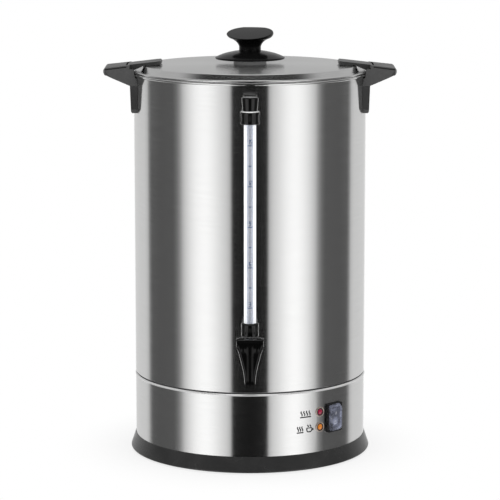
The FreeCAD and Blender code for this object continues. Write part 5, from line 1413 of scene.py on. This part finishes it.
    def make_nuts(self) -> None:
        """The two collar nuts; the upper one has a bright ring on its shoulder."""
        outer, low_end, high_end = self.top_nut
        ring = softened([(outer - 3.2, high_end - 0.4), (outer - 1.9, high_end - 0.4),
                         (outer - 0.9, high_end - 1.4), (outer - 0.45, high_end - 0.9),
                         (outer - 1.6, high_end + 0.25), (outer - 3.2, high_end + 0.25)], 0.15)
        Maker.piece("upper_collar", [self.collar(self.top_nut, low_end + 2.0, False, 16)],
                    ["fitting_plastic"], replaces=["gauge_top_nut"])
        Maker.piece("collar_ring", [revolved(ring, 96, self.axis)], ["rolled_edge"], slot="screw_steel")
        Maker.piece("lower_collar", [self.collar(self.bottom_nut, self.bottom_nut[2] - 4.5, True, 14)],
                    ["fitting_plastic"], replaces=["gauge_bottom_nut"])
        Maker.softened_copy("gauge_cap", "gauge_top_fitting", "fitting_plastic", "root", 0.5)


@dataclass
class Tap:
    """Lever tap: dished blade with a middle ridge, cheeks over the pivot, and the moulded body.

    The front holds y, z and the half width along the blade. The cheek's and the forks' outlines are
    points (y, z), and the pairs beside them say how far out from the middle each lies.
    """

    front: tuple[tuple[float, float, float], ...] = (
        (-176.0, 172.0, 13.4), (-183.0, 172.0, 13.6), (-187.6, 171.6, 14.4), (-189.9, 168.6, 15.9),
        (-190.1, 163.0, 15.6), (-190.9, 154.5, 13.0), (-190.4, 144.0, 10.3), (-190.0, 134.0, 7.9),
        (-188.9, 126.0, 6.9), (-187.5, 118.0, 6.2))
    thick: float = 3.0
    rim: float = 0.9
    rim_drop: float = 0.35
    dish: float = 0.5
    pocket: float = 0.75
    ridge: float = 0.15
    cheek: tuple[float, float] = (12.8, 15.5)
    cheek_outline: tuple[tuple[float, float], ...] = (
        (-176.2, 171.0), (-187.5, 171.0), (-188.4, 158.6), (-181.5, 158.6), (-176.2, 163.5))
    fork: tuple[float, float] = (3.0, 5.0)
    fork_bars: tuple[tuple[tuple[float, float], ...], ...] = (
        ((-188.6, 154.0), (-181.8, 154.0), (-181.8, 151.8), (-188.6, 151.8)),
        ((-188.4, 146.1), (-181.8, 146.1), (-181.8, 144.8), (-188.4, 142.8)),
        ((-188.5, 153.9), (-186.0, 153.9), (-186.0, 142.9), (-188.5, 142.9)))

    def build(self) -> None:
        """Make the lever and soften the mouldings."""
        self.make_lever()
        Maker.softened_copy("valve_body", "tap_body", "tap_plastic", "root", 0.5)
        Maker.softened_copy("valve_bonnet", "tap_bonnet", "tap_plastic", "root", 0.4)

    def spine(self) -> np.ndarray:
        """The blade's front line, evenly spaced and smoothed.

        Away from its ends each point is the mean of the nine round it, weighted by a raised cosine.

        Returns:
            Rows of y, z and half width, from the back of the hood to the foot.
        """
        given = np.array(self.front)
        length = np.concatenate([[0], np.cumsum(np.linalg.norm(np.diff(given[:, :2], axis=0), axis=1))])
        s = np.linspace(0, length[-1], 90)
        line = np.stack([np.interp(s, length, given[:, k]) for k in range(3)], axis=-1)
        kernel = np.hanning(9) / np.hanning(9).sum()
        padded = np.pad(line, ((4, 4), (0, 0)), mode="edge")
        line[4:-4] = np.stack([np.convolve(padded[:, k], kernel, "valid") for k in range(3)], axis=-1)[4:-4]
        return line

    def blade(self) -> Shell:
        """The blade, from the back of its hood over the top and down to the foot.

        Along it runs a smooth line (y, z) with a half width w. Across, a point at u between -w and w lies
        on the front at the line, less a dish between the ridge and the rim, or on the back one thickness
        behind it; a flared side with soft corners joins the two.

        Returns:
            The closed surface.
        """
        line = self.spine()
        tangent = np.gradient(line[:, :2], axis=0)
        tangent /= np.linalg.norm(tangent, axis=1)[:, None]
        normal = np.stack([tangent[:, 1], -tangent[:, 0]], axis=-1)
        z, w = line[:, 1:2], line[:, 2:3]
        u = np.sin(np.linspace(-np.pi / 2, np.pi / 2, 49))[None, :] * (w - self.rim)
        lane = smooth(np.abs(u), 1.0, 5.2) * (1 - smooth(np.abs(u) - w, -2.9, -1.7))
        along = smooth(-z, -166.5, -162.0) * (1 - smooth(-z, -122.5, -118.5))
        pocket = np.exp(-(((np.abs(u) - 0.55 * w) / 2.4) ** 2 + ((z - 158.5) / 3.6) ** 2))
        sunk = lane * along * self.dish + self.pocket * pocket
        crown = self.ridge * (1 - smooth(np.abs(u), 0.0, 2.6)) * along
        near = np.stack([u, -sunk + crown - self.rim_drop], axis=-1)
        side = softened([(-self.rim, -self.rim_drop), (-0.65, -self.rim_drop), (0.0, -self.thick + 0.4),
                         (-self.rim, -self.thick)], [0, 0.3, 0.3, 0], closed=False, steps=4)[1:-1]
        rim = np.stack([w + side[:, 0], side[:, 1] + 0 * w], axis=-1)
        far = np.stack([u[:, ::-6], -self.thick + 0 * u[:, ::-6]], axis=-1)
        other = rim[:, ::-1] * np.array([-1.0, 1.0])
        loop = np.concatenate([near, rim, far, other], axis=1)
        return lattice(capped(np.stack([loop[..., 0], line[:, 0:1] + normal[:, 0:1] * loop[..., 1],
                                        line[:, 1:2] + normal[:, 1:2] * loop[..., 1]], axis=-1)))

    def make_lever(self) -> None:
        """Blade, two cheeks for the pivot pin, and the two forks that push the stem's cross pin."""
        cheek = softened(self.cheek_outline, 2.0)
        bars = [softened(bar, 0.3) for bar in self.fork_bars]
        shells = [self.blade()]
        for side in (-1, 1):
            shells.append(slab(cheek, side * self.cheek[0], side * self.cheek[1], sideways, 0.5))
            shells += [slab(bar, side * self.fork[0], side * self.fork[1], sideways, 0.2) for bar in bars]
        Maker.piece("lever_blade", shells, ["tap_plastic"], "tap_lever", ["tap_lever"], crease=45)


class Sign(Enum):
    """Plain pictures beside the two lamps."""

    HEAT = "heat"
    CUP = "cup"


@dataclass
class Controls:
    """Pilot lamps, rocker switch under its clear cover, and the pictures beside the lamps.

    The frame's rings are half width, half height and how far each stands out of the wall. The cover's
    lip, foot and crown are half width and half height.
    """

    lamp_angle: float = 36.2
    red_height: float = 68.3
    amber_height: float = 50.0
    wall: float = SKIRT_RADIUS
    bezel_radius: float = 5.95
    bezel_roll: float = 0.65
    barrel_radius: float = 4.6
    barrel_end: float = 128.0
    lens_radius: float = 4.0
    lens_end: float = 128.2
    proud: float = 1.3
    switch_angle: float = 45.25
    switch_height: float = 58.8
    frame_rings: tuple[tuple[float, float, float], ...] = (
        (11.9, 17.5, -0.9), (11.9, 17.5, 1.2), (11.75, 17.35, 1.6), (11.4, 17.0, 1.75),
        (8.3, 14.3, 1.75), (7.9, 13.9, 1.5), (7.7, 13.7, 1.0), (7.7, 13.7, -0.9))
    frame_corner: float = 1.6
    cover_seat: float = 1.8
    cover_lip: tuple[float, float] = (9.9, 16.2)
    cover_foot: tuple[float, float] = (9.3, 15.5)
    cover_crown: tuple[float, float] = (7.3, 12.9)
    cover_climb: float = 4.4
    cover_wall: float = 0.6
    rocker_pivot: float = 139.0
    rocker_face: float = 144.2
    rocker_half: float = 10.6
    swing: float = 7.0
    sign_angle: float = 28.0
    pen: tuple[float, float] = (0.75, 0.05)

    def build(self) -> None:
        """Make the lamps, the switch's parts and the pictures."""
        for colour, height in (("red", self.red_height), ("amber", self.amber_height)):
            self.make_lamp(colour, height)
        self.make_surround()
        Maker.softened_copy("rocker_key", "switch_rocker", "switch_black", "rocker", 0.4)
        self.make_rocker_marks()
        self.make_cover()
        self.make_sign(Sign.HEAT, self.red_height)
        self.make_sign(Sign.CUP, self.amber_height)

    def make_lamp(self, colour: str, height: float) -> None:
        """A bezel rolled round a black ring that paints the shade of the gap round the lens, and a low dome
        with a four-sided facet on its middle.

        The dome's depth falls with the square of the radius.

        Args:
            colour: the lamp's colour, which names its lens and its pieces.
            height: height of its middle.
        """
        front, roll, wide = self.wall + self.proud, self.bezel_roll, self.lens_radius - 0.5
        mouth = self.lens_radius + 0.1
        bezel = np.concatenate([
            ring_arc((self.bezel_radius - roll, front - roll), roll, 0, 180, 12),
            softened([(self.bezel_radius - 2 * roll, front - 0.9), (mouth, front - 1.6),
                      (mouth, self.barrel_end), (self.barrel_radius, self.barrel_end),
                      (self.barrel_radius, self.wall - 2.2), (self.bezel_radius, self.wall - 1.9)],
                     [0, 0.2, 0.2, 0.2, 0.2, 0], closed=False)])
        # Painted shade: a black ring where the gap between bezel and lens lies in shade.
        dark = softened([(wide - 0.05, front - 1.4), (self.bezel_radius - 1.0, front - 1.4),
                         (self.bezel_radius - 1.0, front - 0.3), (wide - 0.05, front - 0.5)], 0.1)
        r = np.linspace(0.0, wide, 16)
        dome = np.stack([r, front - 0.75 + 1.5 * (1 - (r / wide) ** 2)], axis=-1)
        lens = np.concatenate([dome, [(wide, front - 1.0), (self.lens_radius, front - 1.5),
                                      (self.lens_radius, self.lens_end), (0.0, self.lens_end)]])
        facet = np.array([(0.0, front + 1.2), (2.5, front + 0.35), (2.5, front - 0.5), (0.0, front - 0.5)])
        Maker.piece(f"{colour}_bezel", [outward(bezel, self.lamp_angle, height),
                                        outward(dark, self.lamp_angle, height, finish=1)],
                    ["lamp_bezel", "print_black"], replaces=[f"{colour}_lamp_body"])
        Maker.piece(f"{colour}_jewel", [outward(lens, self.lamp_angle, height),
                                        outward(facet, self.lamp_angle, height, around=4)],
                    [f"{colour}_lens"], replaces=[f"{colour}_lamp_lens"], crease=14)

    def at_switch(self, points: np.ndarray) -> np.ndarray:
        """Stand points (u, v, depth out of the wall) up round the middle of the switch."""
        return faced(points + np.array([0.0, self.switch_height, self.wall]), self.switch_angle)

    def make_surround(self) -> None:
        """The switch's frame: a rounded rectangle with soft edges, open for the rocker."""
        flats = [rectangle(-a, -b, a, b, self.frame_corner, steps=7) for a, b, _ in self.frame_rings]
        rows = np.stack([np.pad(flat, ((0, 0), (0, 1)), constant_values=depth)
                         for flat, (_, _, depth) in zip(flats, self.frame_rings)])
        Maker.piece("switch_surround", [lattice(self.at_switch(rows), wrap_rows=True)], ["switch_black"],
                    crease=40)

    def make_cover(self) -> None:
        """Soft clear cover: a flat lip on the frame and a rounded cushion over the rocker.

        From the lip inwards the rings' half sizes shrink by 1 - cos w while the height climbs with sin w,
        for w from 0 to a quarter turn, and the crown bulges with 1 - k^2 for the share k of its half
        size. The inside is the same form one wall lower.
        """
        seat, wall, climb = self.cover_seat, self.cover_wall, self.cover_climb
        w = np.linspace(0.0, np.pi / 2, 14)
        k = np.array([0.8, 0.55, 0.3, 0.001])
        (wide, tall), (crown_wide, crown_tall) = self.cover_foot, self.cover_crown
        side = np.stack([wide - (wide - crown_wide) * (1 - np.cos(w)),
                         tall - (tall - crown_tall) * (1 - np.cos(w)),
                         np.full(14, 7.0), seat + 0.7 + climb * np.sin(w)], axis=-1)
        crown = np.stack([crown_wide * k, crown_tall * k, np.full(4, 6.0),
                          seat + 0.7 + climb + 0.3 * (1 - k ** 2)], axis=-1)
        lip = np.array([(*self.cover_lip, 7.0, seat), (*self.cover_lip, 7.0, seat + 0.6),
                        (self.cover_lip[0] - 0.4, self.cover_lip[1] - 0.4, 7.0, seat + 0.7)])
        inner_side = side - np.array([wall, wall + 0.1, 0.0, wall])
        inner_crown = np.stack([(crown_wide - wall) * k, (crown_tall - wall - 0.1) * k, np.full(4, 6.0),
                                seat + 0.1 + climb + 0.2 * (1 - k ** 2)], axis=-1)
        foot = np.array([(wide - wall, tall - wall - 0.1, 7.0, seat)])
        rings = np.concatenate([lip, side, crown, inner_crown[::-1], inner_side[::-1], foot])
        Maker.piece("splash_cover", [lattice(self.at_switch(superellipses(rings, 96)), wrap_rows=True)],
                    ["clear_cover"], replaces=["switch_cover"], crease=60)

    def on_rocker(self, points: np.ndarray) -> np.ndarray:
        """Lay points on the rocker's upper or lower face, tilted as it rests.

        A face lies at the rocker's height at its end and falls towards the middle with the slope of the
        swing; the whole is then turned by the swing about the pivot.

        Args:
            points: array of (u, v, depth).

        Returns:
            The points in the piece's space.
        """
        c, s = math.cos(math.radians(self.swing)), math.sin(math.radians(self.swing))
        v = points[..., 1]
        fall = (self.rocker_half - np.abs(v)) * math.tan(math.radians(self.swing))
        reach = self.rocker_face - fall + points[..., 2] - self.rocker_pivot
        flat = np.stack([points[..., 0], self.switch_height + v * c - reach * s,
                         self.rocker_pivot + reach * c + v * s], axis=-1)
        return faced(flat, self.switch_angle)

    def make_rocker_marks(self) -> None:
        """A bar on one end of the rocker and a ring on the other."""
        t = np.linspace(0, 2 * np.pi, 33)[None, :-1]
        r, depth = np.array([(2.1, -0.2), (2.1, 0.08), (1.5, 0.08), (1.5, -0.2)]).T[:, :, None]
        ring = np.stack([r * np.cos(t), -5.8 + r * np.sin(t), 0 * t + depth], axis=-1)
        bar = slab(rectangle(-0.35, 3.8, 0.35, 7.8, 0.2), -0.2, 0.08, self.on_rocker, 0.03)
        Maker.piece("rocker_marks", [bar, lattice(self.on_rocker(ring), wrap_rows=True)],
                    ["mark_white"], "rocker", slot="switch_black")

    def strokes(self, sign: Sign) -> list[np.ndarray]:
        """The lines that draw a picture, each an array of (u, v).

        A rising wisp is one wave, x + a sin 2 pi t, over the height of its run.

        Args:
            sign: which picture.

        Returns:
            The lines.
        """
        t = np.linspace(0.0, 1.0, 24)
        wave = np.sin(2 * np.pi * t)
        if sign is Sign.HEAT:
            wisps = [np.stack([x + 0.8 * wave, -2.4 + 5.8 * t], axis=-1) for x in (-5.4, -1.8, 1.8, 5.4)]
            return wisps + [np.stack([-7.4 + 14.8 * t, -4.0 + 0 * t], axis=-1)]
        cup = np.array([(1.4, 0.6), (2.0, -3.0), (3.1, -4.0), (6.9, -4.0), (8.0, -3.0), (8.6, 0.6),
                        (1.4, 0.6)])
        handle = through((8.3, -0.3), (10.6, -1.4), (7.9, -2.5), 10)
        steam = [np.stack([x + 0.5 * wave, 1.8 + 2.8 * t], axis=-1) for x in (3.4, 6.6)]
        wisps = [np.stack([x + 0.7 * wave, -2.4 + 5.8 * t], axis=-1) for x in (-10.0, -7.2, -4.4)]
        return [cup, handle, *steam, *wisps, np.stack([-11.6 + 8.8 * t, -4.0 + 0 * t], axis=-1)]

    def make_sign(self, sign: Sign, height: float) -> None:
        """A picture printed on the skirt: rising heat, or a cup with steam.

        Args:
            sign: which picture.
            height: height of its middle.
        """
        lay = on_drum(self.wall, self.sign_angle)
        pen = ring_arc((0.0, 0.0), 1.0, 0, 360, 9)[:-1] * np.array(self.pen)
        shells = [swept(np.pad(stroke + np.array([0.0, height]), ((0, 0), (0, 1))), pen)
                  for stroke in self.strokes(sign)]
        Maker.piece(f"{sign.value}_sign", [Shell(lay(shell.points), shell.faces) for shell in shells],
                    ["print_black"], slot="brushed_steel")


@dataclass
class Handles:
    """Both carrying handles and their lid latches, with the mouldings' edges rounded.

    The split is where grip and latch part, (x, z) on the top; from there the top falls to the tip. The
    crest is the height at which the sloping sides would stand crest_half apart from the middle.
    """

    edge: float = 0.5
    split: tuple[float, float] = (146.5, 471.3)
    tip: float = 173.0
    fall: float = 0.116
    crest_half: float = 25.0
    crest: float = 472.3
    side_slope: float = 0.8
    # Drop below the top and section of the painted shade strip along each grip.
    seam_drop: float = 1.7
    seam_pen: tuple[float, float] = (0.85, 0.12)
    side_normal: tuple[float, float] = (0.78, 0.62)

    def build(self) -> None:
        """Soften both sides' handle and latch, and lay a strip of painted shade along each grip."""
        for side, way in (("right", 1), ("left", -1)):
            Maker.softened_copy(f"grip_{side}", f"handle_{side}", "handle_plastic", "root", self.edge)
            Maker.softened_copy(f"lid_hook_{side}", f"lid_latch_{side}", "handle_plastic", f"latch_{side}",
                                self.edge)
            # Painted shade: a black strip where the grip's top edge shades its side.
            Maker.piece(f"grip_painted_shade_{side}", [self.seam(way, face) for face in (-1, 1)], ["knob_plastic"],
                        slot="handle_plastic")

    def seam(self, way: int, face: int) -> Shell:
        """A dark strip of painted shade just under the top edge of a grip's sloping side, from the latch to
        the tip.

        Args:
            way: 1 for the right handle, -1 for the left one.
            face: 1 for the side towards the rear, -1 for the one towards the tap.

        Returns:
            A thin strip that follows the side's plane.
        """
        x = np.linspace(self.split[0] + 1.0, self.tip, 12)
        z = self.split[1] - self.fall * (x - self.split[0]) - self.seam_drop
        y = self.crest_half + self.side_slope * (self.crest - z)
        pen = ring_arc((0.0, 0.0), 1.0, 0, 360, 13)[:-1] * np.array(self.seam_pen)
        out, up = self.side_normal
        return swept(np.stack([way * x, face * y, z], axis=-1), pen, up=(0.0, face * out, up))


# ---- studio --------------------------------------------------------------------------------------

@dataclass
class Studio:
    """Camera, pale floor, soft light, and what the polished parts reflect.

    The bands are the walls' brightness by degrees round from behind the camera. Each pair ending in
    _from or _until says between which two values of the direction's rise, or degrees round, a part of
    the walls fades in or out.
    """

    distance: float = 2.915
    height: float = 0.7377
    pitch: float = 9.62
    lens: float = 174.6
    floor_radius: float = 40.0
    floor_colour: Colour = (0.98, 0.98, 0.98)
    floor_fade: tuple[float, float] = (0.13, 0.24)
    bands: tuple[tuple[float, float], ...] = (
        (0, 0.002), (16.8, 0.006), (19.2, 0.52), (23, 0.68), (30, 0.86), (36, 1.02), (42, 1.12), (48, 1.12),
        (54, 1.03), (60, 0.86), (67, 0.60), (71, 0.32), (75, 0.16), (80, 0.085), (113, 0.075), (117, 0.22),
        (119.5, 0.50), (126, 0.62), (161, 0.66), (170, 1.0), (180, 1.0))
    rear: float = 0.46
    rear_rise: tuple[float, float] = (-0.06, 0.08)
    rear_from: tuple[float, float] = (95.0, 125.0)
    rail: float = 0.14
    rail_rise: tuple[float, float] = (0.13, 0.17)
    rail_until: tuple[float, float] = (95.1, 100.3)
    cornice: tuple[float, float] = (0.012, 0.44)
    cornice_rise: tuple[float, float] = (0.28, 0.42)
    cornice_from: tuple[float, float] = (60.0, 94.0)
    ceiling: float = 1.1
    ceiling_rise: tuple[float, float] = (0.89, 0.94)
    fill: float = 0.72
    aim: Point = (0.0, 0.0, 0.25)
    lamps: tuple[tuple[str, Point, float, float], ...] = (
        ("overhead", (0.0, -0.3, 1.9), 1.6, 9.0), ("left_side", (-1.7, -1.3, 1.2), 1.2, 5.0),
        ("right_side", (1.7, -1.3, 1.2), 1.2, 5.0))

    def build(self) -> None:
        """Make the camera, the floor, the world and the lamps."""
        self.make_camera()
        self.make_floor()
        self.make_world()
        self.make_lamps()
        bpy.context.scene.view_settings.view_transform = "Standard"

    def make_camera(self) -> None:
        """The camera stands in front of the tap, a little above the rim, and looks slightly down."""
        data = bpy.data.cameras.new("camera")
        data.lens = self.lens
        data.sensor_width = 36.0
        camera = bpy.data.objects.new("camera", data)
        camera.location = (0.0, -self.distance, self.height)
        camera.rotation_euler = (math.radians(90 - self.pitch), 0.0, 0.0)
        bpy.context.scene.collection.objects.link(camera)
        bpy.context.scene.camera = camera

    def make_floor(self) -> None:
        """A pale floor that takes the shadow near the object and runs out into white."""
        r = self.floor_radius
        mesh = bpy.data.meshes.new("floor")
        mesh.from_pydata([(-r, -r, 0), (r, -r, 0), (r, r, 0), (-r, r, 0)], [], [(0, 1, 2, 3)])
        mesh.materials.append(self.floor_material())
        floor = bpy.data.objects.new("floor", mesh)
        bpy.context.scene.collection.objects.link(floor)

    def floor_material(self) -> bpy.types.Material:
        """Paper near the object, white light further out, and nothing for rays off polished parts.

        Returns:
            The material.
        """
        material = bpy.data.materials.new("pale_floor")
        material.use_nodes = True
        nodes = Nodes(material.node_tree)
        output = next(n for n in material.node_tree.nodes if n.type == "OUTPUT_MATERIAL")
        shader = next(n for n in material.node_tree.nodes if n.type == "BSDF_PRINCIPLED")
        material.node_tree.nodes.remove(shader)
        paper = nodes.add("BsdfDiffuse")
        paper.inputs["Color"].default_value = (*self.floor_colour, 1.0)
        length = nodes.add("VectorMath", operation="LENGTH")
        nodes.link(nodes.add("TexCoord").outputs["Object"], length.inputs[0])
        away = nodes.spread(length.outputs["Value"], *self.floor_fade, 0.75, 1.0)
        blend = self.blended(nodes, away, paper, nodes.add("Emission"))
        glossy = nodes.add("LightPath").outputs["Is Glossy Ray"]
        switch = self.blended(nodes, glossy, blend, nodes.add("BsdfTransparent"))
        nodes.link(switch.outputs[0], output.inputs["Surface"])
        return material

    @staticmethod
    def blended(nodes: Nodes, share: bpy.types.NodeSocket, first: bpy.types.Node,
                second: bpy.types.Node) -> bpy.types.Node:
        """Mix two shaders.

        Args:
            nodes: the material's nodes.
            share: how much of the second shader is taken.
            first: the first shader.
            second: the second shader.

        Returns:
            The mixing node.
        """
        blend = nodes.add("MixShader")
        nodes.link(share, blend.inputs[0])
        nodes.link(first.outputs[0], blend.inputs[1])
        nodes.link(second.outputs[0], blend.inputs[2])
        return blend

    def make_world(self) -> None:
        """White behind the object, soft fill on it, and light and dark studio walls in its reflections."""
        world = bpy.data.worlds.new("studio")
        world.use_nodes = True
        bpy.context.scene.world = world
        nodes = Nodes(world.node_tree)
        output = next(n for n in world.node_tree.nodes if n.type == "OUTPUT_WORLD")
        background = next(n for n in world.node_tree.nodes if n.type == "BACKGROUND")
        rays = nodes.add("LightPath")
        lit = nodes.mix(rays.outputs["Is Glossy Ray"], grey(self.fill), self.walls(nodes))
        seen = nodes.math("MAXIMUM", rays.outputs["Is Camera Ray"], rays.outputs["Is Transmission Ray"])
        nodes.link(nodes.mix(seen, lit, grey(1.0)), background.inputs[0])
        nodes.link(background.outputs[0], output.inputs["Surface"])

    def walls(self, nodes: Nodes) -> bpy.types.NodeSocket:
        """The studio's walls: upright bands, dimmer at the rear, with a rail, a cornice and a ceiling.

        Args:
            nodes: the world's nodes.

        Returns:
            The socket of the walls' colour.
        """
        parts = nodes.add("SeparateXYZ")
        nodes.link(nodes.add("TexCoord").outputs["Generated"], parts.inputs[0])
        x, y, z = parts.outputs
        turn = nodes.math("ARCTAN2", nodes.math("ABSOLUTE", x), nodes.math("MULTIPLY", y, -1.0))
        ramp = nodes.add("ValToRGB")
        stops = ramp.color_ramp.elements
        for index, (angle, value) in enumerate(self.bands):
            stop = stops[index] if index < 2 else stops.new(1.0)
            stop.position = angle / 180
            stop.color = (value, value, value, 1.0)
        uneven = nodes.math("ADD", nodes.math("MULTIPLY", nodes.math("SIGN", x), 0.012), 0.988)
        nodes.feed(ramp.inputs[0], nodes.math("DIVIDE", nodes.math("MULTIPLY", turn, uneven), math.pi))
        rear = nodes.math("MULTIPLY", nodes.spread(z, *self.rear_rise, 0.0, 1.0),
                          nodes.spread(turn, *map(math.radians, self.rear_from), 0.0, 1.0))
        rail = nodes.math("MULTIPLY", nodes.spread(z, *self.rail_rise, 0.0, 1.0),
                          nodes.spread(turn, *map(math.radians, self.rail_until), 1.0, 0.0))
        cornice = nodes.spread(turn, *map(math.radians, self.cornice_from), *self.cornice)
        banded = nodes.mix(rear, ramp.outputs[0], grey(self.rear))
        railed = nodes.mix(rail, banded, grey(self.rail))
        shaded = nodes.mix(nodes.spread(z, *self.cornice_rise, 0.0, 1.0), railed, cornice)
        return nodes.mix(nodes.spread(z, *self.ceiling_rise, 0.0, 1.0), shaded, grey(self.ceiling))

    def make_lamps(self) -> None:
        """One broad lamp overhead and a weaker one at each side; none shows in the polished parts."""
        for name, spot, size, watts in self.lamps:
            data = bpy.data.lights.new(name, "AREA")
            data.size = size
            data.energy = watts
            lamp = bpy.data.objects.new(name, data)
            lamp.location = spot
            lamp.rotation_euler = (Vector(self.aim) - Vector(spot)).to_track_quat("-Z", "Y").to_euler()
            lamp.visible_glossy = False
            bpy.context.scene.collection.objects.link(lamp)


def dress_nodes() -> None:
    """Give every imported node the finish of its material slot."""
    for row in frame["record"]["subparts"]:
        node = frame["nodes"][row["node"]]
        node.data.materials.clear()
        node.data.materials.append(Maker.material(row["material_slot"]))
        LOG.info("%s: %s", row["node"], row["material_slot"])


def main() -> None:
    """Build the studio, dress the nodes and build the finer pieces."""
    Studio().build()
    dress_nodes()
    for part in (TankShell(), LidAssembly(), Handles(), SightGauge(), Tap(), Controls()):
        part.build()


if __name__ == "__main__":
    main()
